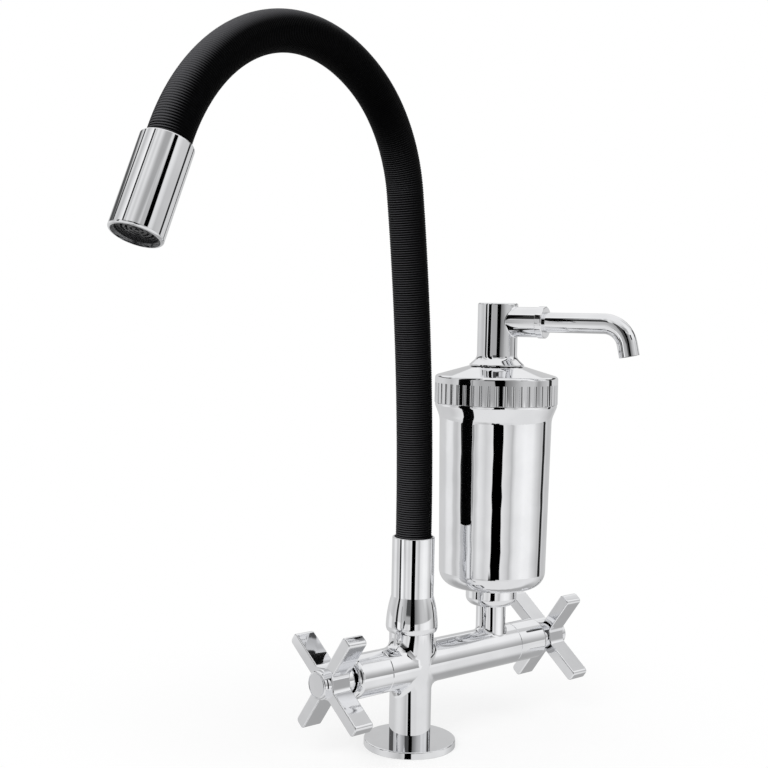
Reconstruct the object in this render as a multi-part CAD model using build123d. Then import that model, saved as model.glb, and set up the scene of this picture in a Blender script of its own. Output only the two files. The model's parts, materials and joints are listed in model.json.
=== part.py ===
from build123d import *
import os
from math import cos, pi, radians, sin

# Frame, in millimetres: the origin is the centre of the flange's underside, on the axis of the column.
# +Z is up, +X runs along the arm that carries the filter, and the user stands on the -Y side.

# Clearances and cutting allowances
FIT_GAP = 0.05
RUNNING_GAP = 0.08
THREAD_GAP = 0.1
SHOULDER_GAP = 0.3
OVERRUN = 4.0
EDGE_BREAK = 0.35
HALF_TURN = 180.0
QUARTER_TURN = 90.0
FULL_TURN = 360.0

# Base flange and the socket for the fixing tail
FLANGE_RADIUS = 27.6
FLANGE_THICKNESS = 4.3
FLANGE_EDGE_ROUND = 0.7
SPIGOT_RADIUS = 11.6
SOCKET_RADIUS = 9.32
SOCKET_DEPTH = 14.0
GASKET_INNER_RADIUS = 15.0
GASKET_OUTER_RADIUS = 24.0
GASKET_THICKNESS = 1.6

# Cast body: a column, two arms, a neck for the hose spout and a riser for the filter
COLUMN_RADIUS = 12.55
NECK_RADIUS = 13.4
ARM_HEIGHT = 48.7
ARM_RADIUS = 12.73
NECK_RISE = 20.7
NECK_TOP = ARM_HEIGHT + NECK_RISE
LEFT_SEAM = 24.6
RIGHT_SEAM = 83.9
SEAMS = {"left": LEFT_SEAM, "right": RIGHT_SEAM}
SIDES = {"left": -1, "right": 1}
CROSSING_STEP = 0.3
CROSSING_RADIUS = ARM_RADIUS + CROSSING_STEP
CROSSING_FOOT = ARM_HEIGHT - ARM_RADIUS
CROSSING_RISE = 9.3
CROSSING_TOP = ARM_HEIGHT + CROSSING_RISE
ARM_BLEND = 6.0
RISER_OFFSET = 67.3
RISER_RADIUS = 9.3
RISER_RISE = 31.3
RISER_TOP = ARM_HEIGHT + RISER_RISE
RISER_BLEND = 2.6
INLET_BORE_RADIUS = 6.0
CROSS_BORE_RADIUS = 4.2
RISER_BORE_RADIUS = 5.2
SPOUT_PORT_RADIUS = 2.6
SPOUT_PORT_OFFSET = 8.0
SPOUT_PORT_RISE = 6.3
SPOUT_PORT_FLOOR = ARM_HEIGHT + SPOUT_PORT_RISE

# Valve, measured outward along the arm from the seam between arm and bonnet
CHAMBER_DEPTH = 17.5
CHAMBER_RADIUS = 9.2
SEAT_WASHER_THICKNESS = 1.6
SEAT_WASHER_RADIUS = 7.0
CUP_RADIUS = 7.4
CUP_BORE_RADIUS = 5.8
DISC_THICKNESS = 2.5
DISC_FACE_GAP = 0.02
DISC_PORT_INNER_RADIUS = 1.6
DISC_PORT_OUTER_RADIUS = 4.9
DISC_PORT_ANGLE = 76.0
SIDE_WINDOW_WIDTH = 7.0
SPINDLE_RADIUS = 3.4
SPINDLE_FOOT_THICKNESS = 2.0
TONGUE_WIDTH = 2.0
TONGUE_LENGTH = 8.0
TONGUE_DEPTH = 1.0
THREAD_COLLAR_LENGTH = 5.0
VALVE_FLANGE_RADIUS = 10.2
VALVE_FLANGE_THICKNESS = 4.0
GLAND_RADIUS = 6.8
GLAND_END = 12.0
SEAL_RADIUS = 4.6
SEAL_THICKNESS = 1.8
SEAL_AT = 5.0
BONNET_LENGTH = 24.2
BONNET_END_ROUND = 3.1
BONNET_BORE_END = 12.5
BONNET_MOUTH_RADIUS = 9.1

# Cross handle, measured outward from the same seam
HANDLE_BACK = 29.7
HANDLE_DEPTH = 13.0
HANDLE_TIP_RADIUS = 35.8
HANDLE_BAR_WIDTH = 7.5
HANDLE_HUB_HALF_WIDTH = 9.3
HANDLE_HUB_ROUND = 4.0
HANDLE_TIP_ROUND = 2.4
HANDLE_EDGE_ROUND = 0.8
HANDLE_REST_TURN = 8.7
HANDLE_NECK_RADIUS = 8.1
HANDLE_NECK_BACK = 21.6
DRIVE_WIDTH = 4.7
DRIVE_BACK = 19.0
DRIVE_END = 36.2
HANDLE_WEB_THICKNESS = 2.0
HANDLE_SCREW_RADIUS = 1.9
HANDLE_SCREW_LENGTH = 9.0
HANDLE_SCREW_HEAD_RADIUS = 3.6
HANDLE_SCREW_HEAD_THICKNESS = 2.1
HANDLE_SCREW_KEY_RADIUS = 1.4
BUTTON_RADIUS = 8.6
BUTTON_PROUD = 4.3
BUTTON_PLUG_RADIUS = 7.1
BUTTON_PLUG_LENGTH = 2.0
BUTTON_RING_RADIUS = 6.8
BUTTON_STEP = 0.6
BUTTON_STEP_HEIGHT = 1.9
BUTTON_RING_WIDTH = 0.55
BUTTON_EDGE_ROUND = 0.9

# Hose spout: turning nipple, bell-shaped ferrule and the path of the hose
NIPPLE_RADIUS = 8.55
NIPPLE_INSERTION = 8.7
NIPPLE_FOOT = NECK_TOP - NIPPLE_INSERTION
NIPPLE_BORE_RADIUS = 2.7
NIPPLE_STEM_RADIUS = 4.0
NIPPLE_FLANGE_RADIUS = 11.4
NIPPLE_FLANGE_THICKNESS = 3.0
NIPPLE_SEAL_MARGIN = 1.3
NIPPLE_SEAL_PITCH = 2.7
NIPPLE_SEAL_COUNT = 2
NIPPLE_SEAL_DEPTH = 1.2
NIPPLE_SEAL_THICKNESS = 1.3
CLIP_INSERTION = 2.2
CLIP_HEIGHT = NECK_TOP - CLIP_INSERTION
CLIP_THICKNESS = 0.9
CLIP_DEPTH = 0.6
CLIP_OPENING = 5.0
BELL_FOOT = NECK_TOP + SHOULDER_GAP
BELL_RADIUS = 15.68
BELL_FOOT_ROUND = 2.6
BELL_BELT_HEIGHT = 11.6
BELL_BELT_TOP = BELL_FOOT + BELL_BELT_HEIGHT
BELL_BELT_ROUND = 26.0
BELL_SHOULDER_HEIGHT = 9.8
BELL_SHOULDER_TOP = BELL_BELT_TOP + BELL_SHOULDER_HEIGHT
BELL_SHOULDER_ROUND = 6.0
BELL_WEB_THICKNESS = 2.6
BELL_BORE_RADIUS = 11.45
BELL_BORE_RISE = 4.7
BELL_BORE_TOP = BELL_SHOULDER_TOP + BELL_BORE_RISE
FERRULE_RADIUS = 12.7
FERRULE_LENGTH = 35.3
FERRULE_TOP = BELL_SHOULDER_TOP + FERRULE_LENGTH
FERRULE_LIP_ROUND = 0.5
FERRULE_MOUTH_RADIUS = 11.6
FERRULE_MOUTH_DEPTH = 5.4
BELL_BORE_CONE_HEIGHT = 2.0
FERRULE_GRIP_BOTTOM = BELL_BORE_TOP + BELL_BORE_CONE_HEIGHT
HOSE_RADIUS = 10.75
HOSE_RIB_DEPTH = 0.35
HOSE_RIB_PITCH = 4.7
HOSE_BORE_RADIUS = 8.0
HOSE_FOOT_GAP = 1.0
HOSE_FOOT = FERRULE_GRIP_BOTTOM + HOSE_FOOT_GAP
NIPPLE_STEM_REACH = 15.0
NIPPLE_STEM_TOP = HOSE_FOOT + NIPPLE_STEM_REACH
HOSE_STRAIGHT = 50.3
HOSE_REST_BEARING = 194.7
LEAN_RADIUS = 1203.0
LEAN_TURN = 9.5
SHOULDER_RADIUS = 82.7
SHOULDER_TURN = 48.9
CROWN_RADIUS = 106.7
CROWN_TURN = 97.3
HOSE_END_STRAIGHT = 16.6
LOWER_FLEX_AT = 157.2
UPPER_FLEX_AT = 347.2
FLEX_LENGTH = 40.0
CORE_OUTER_RADIUS = 7.6
CORE_INNER_RADIUS = 6.9
TUBE_OUTER_RADIUS = 5.3
TUBE_REACH_BELOW_HOSE = 19.0
TUBE_FOOT = HOSE_FOOT - TUBE_REACH_BELOW_HOSE
CRIMP_OUTER_RADIUS = 6.4
CRIMP_LENGTH = 14.0
CRIMP_RISE = 2.0
CRIMP_FOOT = TUBE_FOOT + CRIMP_RISE

# Aerator, measured along its own axis from the rim that the hose enters
AERATOR_RADIUS = 13.0
AERATOR_LENGTH = 47.5
AERATOR_TOP_ROUND = 0.8
AERATOR_RIM_ROUND = 1.2
AERATOR_MOUTH_RADIUS = 11.3
AERATOR_MOUTH_DEPTH = 3.0
AERATOR_THREAD_RADIUS = 11.6
HOSE_INSERTION = 12.0
END_FITTING_SHOULDER = 13.0
END_STEM_BACK = -2.0
END_TUBE_END = 11.5
END_CRIMP_BACK = -1.5
END_CRIMP_LENGTH = 10.0
WASHER_THICKNESS = 2.0
CAGE_RECESS = 1.4
CAGE_LENGTH = 16.1
CAGE_CLEARANCE = 0.5
CAGE_FRONT = AERATOR_LENGTH - CAGE_RECESS
CAGE_BACK = CAGE_FRONT - CAGE_LENGTH
END_FITTING_LENGTH = CAGE_BACK - CAGE_CLEARANCE - WASHER_THICKNESS - END_FITTING_SHOULDER
CAGE_RING_RADIUS = 9.8
CAGE_RING_WIDTH = 0.5
GRILLE_RECESS = 1.4
GRILLE_THICKNESS = 2.4
GRILLE_HUB_RADIUS = 1.0
GRILLE_SLOT_INNER = 2.3
GRILLE_SLOT_WIDTH = 1.1
GRILLE_ROW_PITCH = 2.25
GRILLE_ROWS = 3
GRILLE_SPOKES = 5
GRILLE_SPOKE_WIDTH = 0.9
MESH_THICKNESS = 1.2

# Filter housing on the riser
ADAPTER_RADIUS = 16.1
ADAPTER_OVERLAP = 3.3
ADAPTER_BOTTOM = RISER_TOP - ADAPTER_OVERLAP
ADAPTER_RISE = 8.4
ADAPTER_TOP = RISER_TOP + ADAPTER_RISE
ADAPTER_ROUND = 5.2
ADAPTER_WASHER_THICKNESS = 1.2
ADAPTER_WEB_THICKNESS = 1.0
CANISTER_SPIGOT_RADIUS = 8.9
CANISTER_PORT_RADIUS = 5.0
CANISTER_BOTTOM = ADAPTER_TOP + THREAD_GAP
CANISTER_SPIGOT_LENGTH = 6.1
CANISTER_SPIGOT_BOTTOM = CANISTER_BOTTOM - CANISTER_SPIGOT_LENGTH
CANISTER_BOTTOM_RADIUS = 33.35
CANISTER_BOTTOM_ROUND = 10.5
CANISTER_TOP_RADIUS = 35.15
CANISTER_TAPER_LENGTH = 106.5
CANISTER_TAPER_TOP = CANISTER_BOTTOM + CANISTER_TAPER_LENGTH
CANISTER_NECK_ROUND = 14.0
CANISTER_FLARE_RADIUS = 38.2
CANISTER_NECK_HEIGHT = 7.6
CANISTER_FLARE_START = CANISTER_TAPER_TOP + CANISTER_NECK_HEIGHT
CANISTER_FLARE_ROUND = 3.0
CANISTER_FLARE_HEIGHT = 1.3
CANISTER_FLARE_TOP = CANISTER_FLARE_START + CANISTER_FLARE_HEIGHT
CANISTER_WALL = 1.7
CANISTER_INNER_ROUND = 8.8
CANISTER_THREAD_RADIUS = 35.7
CANISTER_THREAD_LENGTH = 12.1
CANISTER_RIM = CANISTER_FLARE_TOP + CANISTER_THREAD_LENGTH
CAP_RADIUS = 38.55
CAP_BOTTOM = CANISTER_FLARE_TOP + SHOULDER_GAP
CAP_EDGE_RISE = 5.3
CAP_EDGE_HEIGHT = CANISTER_RIM + CAP_EDGE_RISE
CAP_EDGE_ROUND = 2.2
CAP_BAND_HEIGHT = 4.6
CAP_FLUTE_TOP = CAP_EDGE_HEIGHT - CAP_BAND_HEIGHT
CAP_FLUTE_COUNT = 48
CAP_FLUTE_RADIUS = 1.55
CAP_FLUTE_DEPTH = 0.75
CAP_GASKET_INNER_RADIUS = 33.9
CAP_GASKET_THICKNESS = 1.6
CAP_LAND_RADIUS = 30.0
CAP_CEILING = CANISTER_RIM + CAP_GASKET_THICKNESS + THREAD_GAP
CAP_LAND_DEPTH = 3.3
CAP_UNDERSIDE_EDGE = CAP_CEILING + CAP_LAND_DEPTH
DOME_RISE = 6.3
DOME_TOP = CAP_EDGE_HEIGHT + DOME_RISE
DOME_THICKNESS = 3.0
CAP_UNDERSIDE_TOP = DOME_TOP - DOME_THICKNESS
DOME_TOP_RADIUS = 17.2
CAP_BOSS_RADIUS = 14.0
CAP_BOSS_LENGTH = 8.2
CAP_BOSS_BOTTOM = DOME_TOP - CAP_BOSS_LENGTH

# Outlet column in the cap, its side sleeve and the filter spout
OUTLET_STUB_RADIUS = 10.5
OUTLET_RADIUS = 12.55
OUTLET_BASE = DOME_TOP + SHOULDER_GAP
OUTLET_STUB_LENGTH = 22.9
OUTLET_STUB_BOTTOM = OUTLET_BASE - OUTLET_STUB_LENGTH
OUTLET_LIP_RADIUS = 17.1
OUTLET_LIP_HEIGHT = 0.6
OUTLET_LIP_TOP = OUTLET_BASE + OUTLET_LIP_HEIGHT
OUTLET_LIP_ROUND = 0.25
OUTLET_FLARE_HEIGHT = 4.7
OUTLET_FLARE_TOP = OUTLET_BASE + OUTLET_FLARE_HEIGHT
OUTLET_FLARE_ROUND = 5.0
OUTLET_HEIGHT = 39.1
OUTLET_TOP = OUTLET_BASE + OUTLET_HEIGHT
OUTLET_TOP_ROUND = 1.1
OUTLET_BORE_RADIUS = 7.6
OUTLET_ROOF = 5.0
OUTLET_CEILING = OUTLET_TOP - OUTLET_ROOF
LOCK_RING_RADIUS = 13.6
LOCK_RING_THICKNESS = 2.6
OUTLET_SEAL_RISE = 3.2
OUTLET_SEAL_HEIGHT = CAP_BOSS_BOTTOM + OUTLET_SEAL_RISE
OUTLET_SEAL_DEPTH = 1.1
OUTLET_SEAL_THICKNESS = 1.6
SPOUT_BELOW_TOP = 11.6
SPOUT_HEIGHT = OUTLET_TOP - SPOUT_BELOW_TOP
SPOUT_REST_BEARING = -67.7
SLEEVE_RADIUS = 9.3
SLEEVE_BLEND = 1.0
SLEEVE_END = 27.5
SLEEVE_BORE_RADIUS = 7.3
NUT_RADIUS = 9.9
NUT_END = 32.0
NUT_EDGE_ROUND = 0.8
NUT_SLEEVE_BACK = 20.1
SPOUT_RADIUS = 6.15
SPOUT_BORE_RADIUS = 4.9
SPOUT_BACK = 15.5
SPOUT_COLLAR_RADIUS = 7.2
SPOUT_COLLAR_LENGTH = 2.0
SPOUT_SEAL_LENGTH = 2.4
SPOUT_BEND_START = 68.7
SPOUT_BEND_RADIUS = 15.0
SPOUT_BEND_TURN = 78.0
SPOUT_DROP = 7.6

# Filter cartridge
CARTRIDGE_FEET = CANISTER_BOTTOM + CANISTER_WALL + FIT_GAP
CARTRIDGE_FOOT_HEIGHT = 4.05
CARTRIDGE_BASE = CARTRIDGE_FEET + CARTRIDGE_FOOT_HEIGHT
CARTRIDGE_CAP_THICKNESS = 3.0
CARTRIDGE_RADIUS = 29.0
CARTRIDGE_SLEEVE_WALL = 1.2
CARTRIDGE_HEADROOM = 6.0
CARTRIDGE_TOP = OUTLET_STUB_BOTTOM - CARTRIDGE_HEADROOM
CARBON_BORE_RADIUS = 7.0
CARTRIDGE_FOOT_RADIUS = 2.5
CARTRIDGE_FOOT_COUNT = 3
CARTRIDGE_FOOT_CIRCLE = 18.0
CARTRIDGE_SLOT_COUNT = 8
CARTRIDGE_SLOT_WIDTH = 8.0
CARTRIDGE_SLOT_MARGIN = 8.0
CARTRIDGE_SPIGOT_RADIUS = 6.3
CARTRIDGE_SPIGOT_BORE_RADIUS = 4.6
CARTRIDGE_SPIGOT_INSERTION = 8.0
CARTRIDGE_SPIGOT_TOP = OUTLET_STUB_BOTTOM + CARTRIDGE_SPIGOT_INSERTION
CARTRIDGE_SEAL_RISE = 4.0
CARTRIDGE_SEAL_HEIGHT = OUTLET_STUB_BOTTOM + CARTRIDGE_SEAL_RISE
CARTRIDGE_SEAL_THICKNESS = 1.8


def turned(corners):
    """Solid of revolution about Z from (radius, height) corners; a third value rounds that corner."""
    places = [Vector(radius, 0, height) for radius, height, *rest in corners]
    face = make_face(Polyline(*places, close=True)).face()
    for place, (radius, height, *rest) in zip(places, corners):
        if rest:
            vertex = min(face.vertices(), key=lambda v: (Vector(v.X, v.Y, v.Z) - place).length)
            face = face.fillet_2d(rest[0], [vertex])
    return revolve(face, axis=Axis.Z)


def ring(inner, outer, bottom, top):
    """Plain ring about Z with a rectangular section."""
    return turned([(inner, bottom), (outer, bottom), (outer, top), (inner, top)])


def rod(radius, bottom, top):
    """Plain cylinder about Z."""
    return Pos(0, 0, bottom) * Cylinder(radius, top - bottom, align=(Align.CENTER, Align.CENTER, Align.MIN))


def block(width, depth, bottom, top):
    """Box centred on Z."""
    return Pos(0, 0, bottom) * Box(width, depth, top - bottom, align=(Align.CENTER, Align.CENTER, Align.MIN))


def at_arm(side):
    """Place on an arm: local Z runs outward from the seam between the arm and the bonnet."""
    return Pos(SIDES[side] * SEAMS[side], 0, ARM_HEIGHT) * Rot(0, SIDES[side] * QUARTER_TURN, 0)


def at_filter():
    """Place on the axis of the filter housing."""
    return Pos(RISER_OFFSET, 0, 0)


def at_filter_spout():
    """Place on the axis of the filter spout: local Z runs outward, local X runs down."""
    return Pos(RISER_OFFSET, 0, SPOUT_HEIGHT) * Rot(0, 0, SPOUT_REST_BEARING) * Rot(0, QUARTER_TURN, 0)


# Base and cast body

def make_base_flange():
    plate = turned(
        [
            (SPIGOT_RADIUS + FIT_GAP, 0),
            (FLANGE_RADIUS, 0, EDGE_BREAK),
            (FLANGE_RADIUS, FLANGE_THICKNESS, FLANGE_EDGE_ROUND),
            (SPIGOT_RADIUS + FIT_GAP, FLANGE_THICKNESS),
        ]
    )
    return plate - ring(GASKET_INNER_RADIUS, GASKET_OUTER_RADIUS, -OVERRUN, GASKET_THICKNESS)


def make_base_gasket():
    return ring(GASKET_INNER_RADIUS + FIT_GAP, GASKET_OUTER_RADIUS - FIT_GAP, 0, GASKET_THICKNESS)


def cast_outside():
    """Column that widens into the neck, arms and riser, blended as one casting."""
    post = turned(
        [
            (0, FLANGE_THICKNESS),
            (COLUMN_RADIUS, FLANGE_THICKNESS),
            (COLUMN_RADIUS, CROSSING_FOOT),
            (CROSSING_RADIUS, ARM_HEIGHT),
            (NECK_RADIUS, CROSSING_TOP),
            (NECK_RADIUS, NECK_TOP),
            (0, NECK_TOP),
        ]
    )
    cross = post + at_arm("left") * rod(ARM_RADIUS, -sum(SEAMS.values()), 0)
    joins = [e for e in cross.edges() if e.geom_type not in (GeomType.CIRCLE, GeomType.LINE)]
    cross = fillet(joins, ARM_BLEND)
    riser = Pos(RISER_OFFSET, 0, 0) * rod(RISER_RADIUS, ARM_HEIGHT, RISER_TOP)
    casting = cross + riser
    joins = [
        e
        for e in casting.edges()
        if e.geom_type not in (GeomType.CIRCLE, GeomType.LINE) and e.center().X > RISER_OFFSET - RISER_RADIUS
    ]
    casting = fillet(joins, RISER_BLEND)
    rims = [
        e
        for e in casting.edges().filter_by(GeomType.CIRCLE)
        if any(abs(e.arc_center.X - SIDES[side] * SEAMS[side]) < FIT_GAP for side in SIDES)
    ]
    return chamfer(rims, EDGE_BREAK)


def make_tap_body():
    casting = cast_outside()
    casting += rod(SPIGOT_RADIUS, 0, FLANGE_THICKNESS)
    casting -= rod(SOCKET_RADIUS, -OVERRUN, SOCKET_DEPTH)
    casting -= rod(INLET_BORE_RADIUS, 0, ARM_HEIGHT)
    casting -= rod(NIPPLE_RADIUS + RUNNING_GAP, NIPPLE_FOOT - SHOULDER_GAP, NECK_TOP + OVERRUN)
    clip_groove = NIPPLE_RADIUS + RUNNING_GAP + CLIP_DEPTH
    casting -= rod(clip_groove, CLIP_HEIGHT - THREAD_GAP, CLIP_HEIGHT + CLIP_THICKNESS + THREAD_GAP)
    for side in SIDES:
        casting -= at_arm(side) * rod(CHAMBER_RADIUS, -CHAMBER_DEPTH, OVERRUN)
    crossing = sum(SEAMS.values()) - CHAMBER_DEPTH
    casting -= at_arm("left") * rod(CROSS_BORE_RADIUS, -crossing, 0)
    casting -= Pos(-SPOUT_PORT_OFFSET, 0, 0) * rod(SPOUT_PORT_RADIUS, SPOUT_PORT_FLOOR, NECK_TOP)
    casting -= at_filter() * rod(RISER_BORE_RADIUS, ARM_HEIGHT + GLAND_RADIUS, RISER_TOP + OVERRUN)
    return casting


# Valves, one at the end of each arm

CUP_BOTTOM = -CHAMBER_DEPTH + SEAT_WASHER_THICKNESS
MOVING_DISC_BOTTOM = CUP_BOTTOM + DISC_THICKNESS + DISC_FACE_GAP
FOOT_BOTTOM = MOVING_DISC_BOTTOM + DISC_THICKNESS
FOOT_TOP = FOOT_BOTTOM + SPINDLE_FOOT_THICKNESS
HANDLE_FRONT = HANDLE_BACK + HANDLE_DEPTH
SCREW_SEAT = DRIVE_END + HANDLE_WEB_THICKNESS


def make_seat_washer(side):
    return at_arm(side) * ring(CROSS_BORE_RADIUS, SEAT_WASHER_RADIUS, -CHAMBER_DEPTH, CUP_BOTTOM)


def make_valve_body(side):
    """Headwork: a cup for the discs with two side windows, a threaded collar, a flange and a gland."""
    body = rod(CUP_RADIUS, CUP_BOTTOM, 0)
    body += rod(CHAMBER_RADIUS - FIT_GAP, -THREAD_COLLAR_LENGTH, 0)
    body += rod(VALVE_FLANGE_RADIUS, 0, VALVE_FLANGE_THICKNESS) + rod(GLAND_RADIUS, 0, GLAND_END)
    body -= rod(CUP_BORE_RADIUS, CUP_BOTTOM - OVERRUN, FOOT_TOP + RUNNING_GAP)
    body -= rod(SPINDLE_RADIUS + RUNNING_GAP, 0, GLAND_END + OVERRUN)
    body -= rod(SPINDLE_RADIUS + RUNNING_GAP, CUP_BOTTOM, GLAND_END)
    body -= rod(SEAL_RADIUS, SEAL_AT, SEAL_AT + SEAL_THICKNESS)
    body -= block(CHAMBER_RADIUS * 2, SIDE_WINDOW_WIDTH, MOVING_DISC_BOTTOM, FOOT_TOP)
    return at_arm(side) * body


def disc_port(inner, outer, angle):
    """Flat sector of a ring, centred on the local X axis."""
    half = radians(angle / 2)
    across, along = sin(half), cos(half)
    inner_start, inner_end = (inner * along, -inner * across), (inner * along, inner * across)
    outer_start, outer_end = (outer * along, -outer * across), (outer * along, outer * across)
    outline = [
        Line(inner_start, outer_start),
        ThreePointArc(outer_start, (outer, 0), outer_end),
        Line(outer_end, inner_end),
        ThreePointArc(inner_end, (inner, 0), inner_start),
    ]
    return make_face(Curve() + outline)


def make_fixed_disc(side):
    disc = rod(CUP_BORE_RADIUS - FIT_GAP, CUP_BOTTOM, CUP_BOTTOM + DISC_THICKNESS)
    port = extrude(disc_port(DISC_PORT_INNER_RADIUS, DISC_PORT_OUTER_RADIUS, DISC_PORT_ANGLE), DISC_THICKNESS)
    for turn in (0, HALF_TURN):
        disc -= Rot(0, 0, turn) * Pos(0, 0, CUP_BOTTOM) * port
    return at_arm(side) * disc


def make_moving_disc(side):
    """The turning disc: its ports lie a quarter turn away from the fixed ones, so the valve is shut."""
    top = MOVING_DISC_BOTTOM + DISC_THICKNESS
    disc = rod(CUP_BORE_RADIUS - RUNNING_GAP, MOVING_DISC_BOTTOM, top)
    sector = disc_port(DISC_PORT_INNER_RADIUS, CUP_RADIUS, DISC_PORT_ANGLE)
    port = extrude(sector, DISC_THICKNESS - TONGUE_DEPTH)
    for turn in (QUARTER_TURN, -QUARTER_TURN):
        disc -= Rot(0, 0, turn) * Pos(0, 0, MOVING_DISC_BOTTOM) * port
    slot = block(TONGUE_LENGTH + FIT_GAP * 2, TONGUE_WIDTH + FIT_GAP * 2, top - TONGUE_DEPTH, top)
    return at_arm(side) * (disc - slot)


def make_spindle(side):
    """Foot with a tongue in the moving disc, a round shaft through the gland and a square drive."""
    spindle = rod(CUP_BORE_RADIUS - RUNNING_GAP, FOOT_BOTTOM, FOOT_TOP)
    spindle += rod(SPINDLE_RADIUS, FOOT_TOP, DRIVE_BACK)
    spindle += block(TONGUE_LENGTH, TONGUE_WIDTH, FOOT_BOTTOM - TONGUE_DEPTH, FOOT_BOTTOM)
    spindle += Rot(0, 0, handle_turn(side)) * block(DRIVE_WIDTH, DRIVE_WIDTH, DRIVE_BACK, DRIVE_END)
    spindle -= rod(HANDLE_SCREW_RADIUS, SCREW_SEAT - HANDLE_SCREW_LENGTH, DRIVE_END + OVERRUN)
    return at_arm(side) * spindle


def make_spindle_seal(side):
    return at_arm(side) * ring(
        SPINDLE_RADIUS + FIT_GAP, SEAL_RADIUS - FIT_GAP, SEAL_AT + FIT_GAP, SEAL_AT + SEAL_THICKNESS - FIT_GAP
    )


def make_bonnet(side):
    """Sleeve over the headwork, rounded at its outer end, with a mouth for the handle's neck."""
    sleeve = turned(
        [
            (VALVE_FLANGE_RADIUS + FIT_GAP, 0),
            (ARM_RADIUS, 0, EDGE_BREAK),
            (ARM_RADIUS, BONNET_LENGTH, BONNET_END_ROUND),
            (BONNET_MOUTH_RADIUS, BONNET_LENGTH),
            (BONNET_MOUTH_RADIUS, BONNET_BORE_END),
            (VALVE_FLANGE_RADIUS + FIT_GAP, BONNET_BORE_END),
        ]
    )
    return at_arm(side) * sleeve


def handle_turn(side):
    """How far the cross stands from the upright at rest, about the outward axis."""
    return -SIDES[side] * HANDLE_REST_TURN


def handle_outline():
    """Cross of four bars on a square hub, seen along the spindle."""
    bar = Rectangle(HANDLE_TIP_RADIUS * 2, HANDLE_BAR_WIDTH)
    hub = Rectangle(HANDLE_HUB_HALF_WIDTH * 2, HANDLE_HUB_HALF_WIDTH * 2)
    diagonal = QUARTER_TURN / 2
    outline = hub + Rot(0, 0, diagonal) * bar + Rot(0, 0, -diagonal) * bar
    tips = [v for v in outline.vertices() if Vector(v.X, v.Y).length > HANDLE_TIP_RADIUS - FIT_GAP]
    outline = fillet(tips, HANDLE_TIP_ROUND)
    reach = HANDLE_TIP_RADIUS - HANDLE_BAR_WIDTH
    corners = [v for v in outline.vertices() if Vector(v.X, v.Y).length < reach]
    return fillet(corners, HANDLE_HUB_ROUND)


def make_handle(side):
    cross = extrude(handle_outline(), HANDLE_DEPTH)
    rims = [e for e in cross.edges() if min(abs(e.center().Z), abs(e.center().Z - HANDLE_DEPTH)) < FIT_GAP]
    cross = Pos(0, 0, HANDLE_BACK) * fillet(rims, HANDLE_EDGE_ROUND)
    handle = cross + rod(HANDLE_NECK_RADIUS, HANDLE_NECK_BACK, HANDLE_BACK)
    drive = DRIVE_WIDTH + FIT_GAP * 2
    handle -= block(drive, drive, HANDLE_NECK_BACK - OVERRUN, DRIVE_END + FIT_GAP)
    handle -= rod(HANDLE_SCREW_RADIUS + FIT_GAP, DRIVE_END, SCREW_SEAT + OVERRUN)
    handle -= rod(BUTTON_PLUG_RADIUS, SCREW_SEAT, HANDLE_FRONT + OVERRUN)
    return at_arm(side) * Rot(0, 0, handle_turn(side)) * handle


def make_handle_screw(side):
    head_top = SCREW_SEAT + HANDLE_SCREW_HEAD_THICKNESS
    screw = rod(HANDLE_SCREW_RADIUS, SCREW_SEAT - HANDLE_SCREW_LENGTH + FIT_GAP, SCREW_SEAT)
    screw += rod(HANDLE_SCREW_HEAD_RADIUS, SCREW_SEAT, head_top)
    key = extrude(RegularPolygon(HANDLE_SCREW_KEY_RADIUS, 6), HANDLE_SCREW_HEAD_THICKNESS)
    return at_arm(side) * (screw - Pos(0, 0, SCREW_SEAT + HANDLE_SCREW_HEAD_THICKNESS / 2) * key)


def make_index_button(side):
    """Plain stepped button that hides the screw, with one ring cut into its face."""
    face = HANDLE_FRONT + BUTTON_PROUD
    button = turned(
        [
            (0, HANDLE_FRONT),
            (BUTTON_RADIUS, HANDLE_FRONT),
            (BUTTON_RADIUS, HANDLE_FRONT + BUTTON_STEP_HEIGHT),
            (BUTTON_RADIUS - BUTTON_STEP, HANDLE_FRONT + BUTTON_STEP_HEIGHT),
            (BUTTON_RADIUS - BUTTON_STEP, face, BUTTON_EDGE_ROUND),
            (0, face),
        ]
    )
    button += rod(BUTTON_PLUG_RADIUS - FIT_GAP, HANDLE_FRONT - BUTTON_PLUG_LENGTH, HANDLE_FRONT)
    groove_inner = BUTTON_RING_RADIUS - BUTTON_RING_WIDTH / 2
    button -= ring(groove_inner, groove_inner + BUTTON_RING_WIDTH, face - BUTTON_RING_WIDTH, face + OVERRUN)
    return at_arm(side) * button


# Turning foot of the hose spout

def nipple_seal_heights():
    """Bottom of each seal groove in the nipple."""
    first = NIPPLE_FOOT + NIPPLE_SEAL_MARGIN
    return [first + number * NIPPLE_SEAL_PITCH for number in range(NIPPLE_SEAL_COUNT)]


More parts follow.
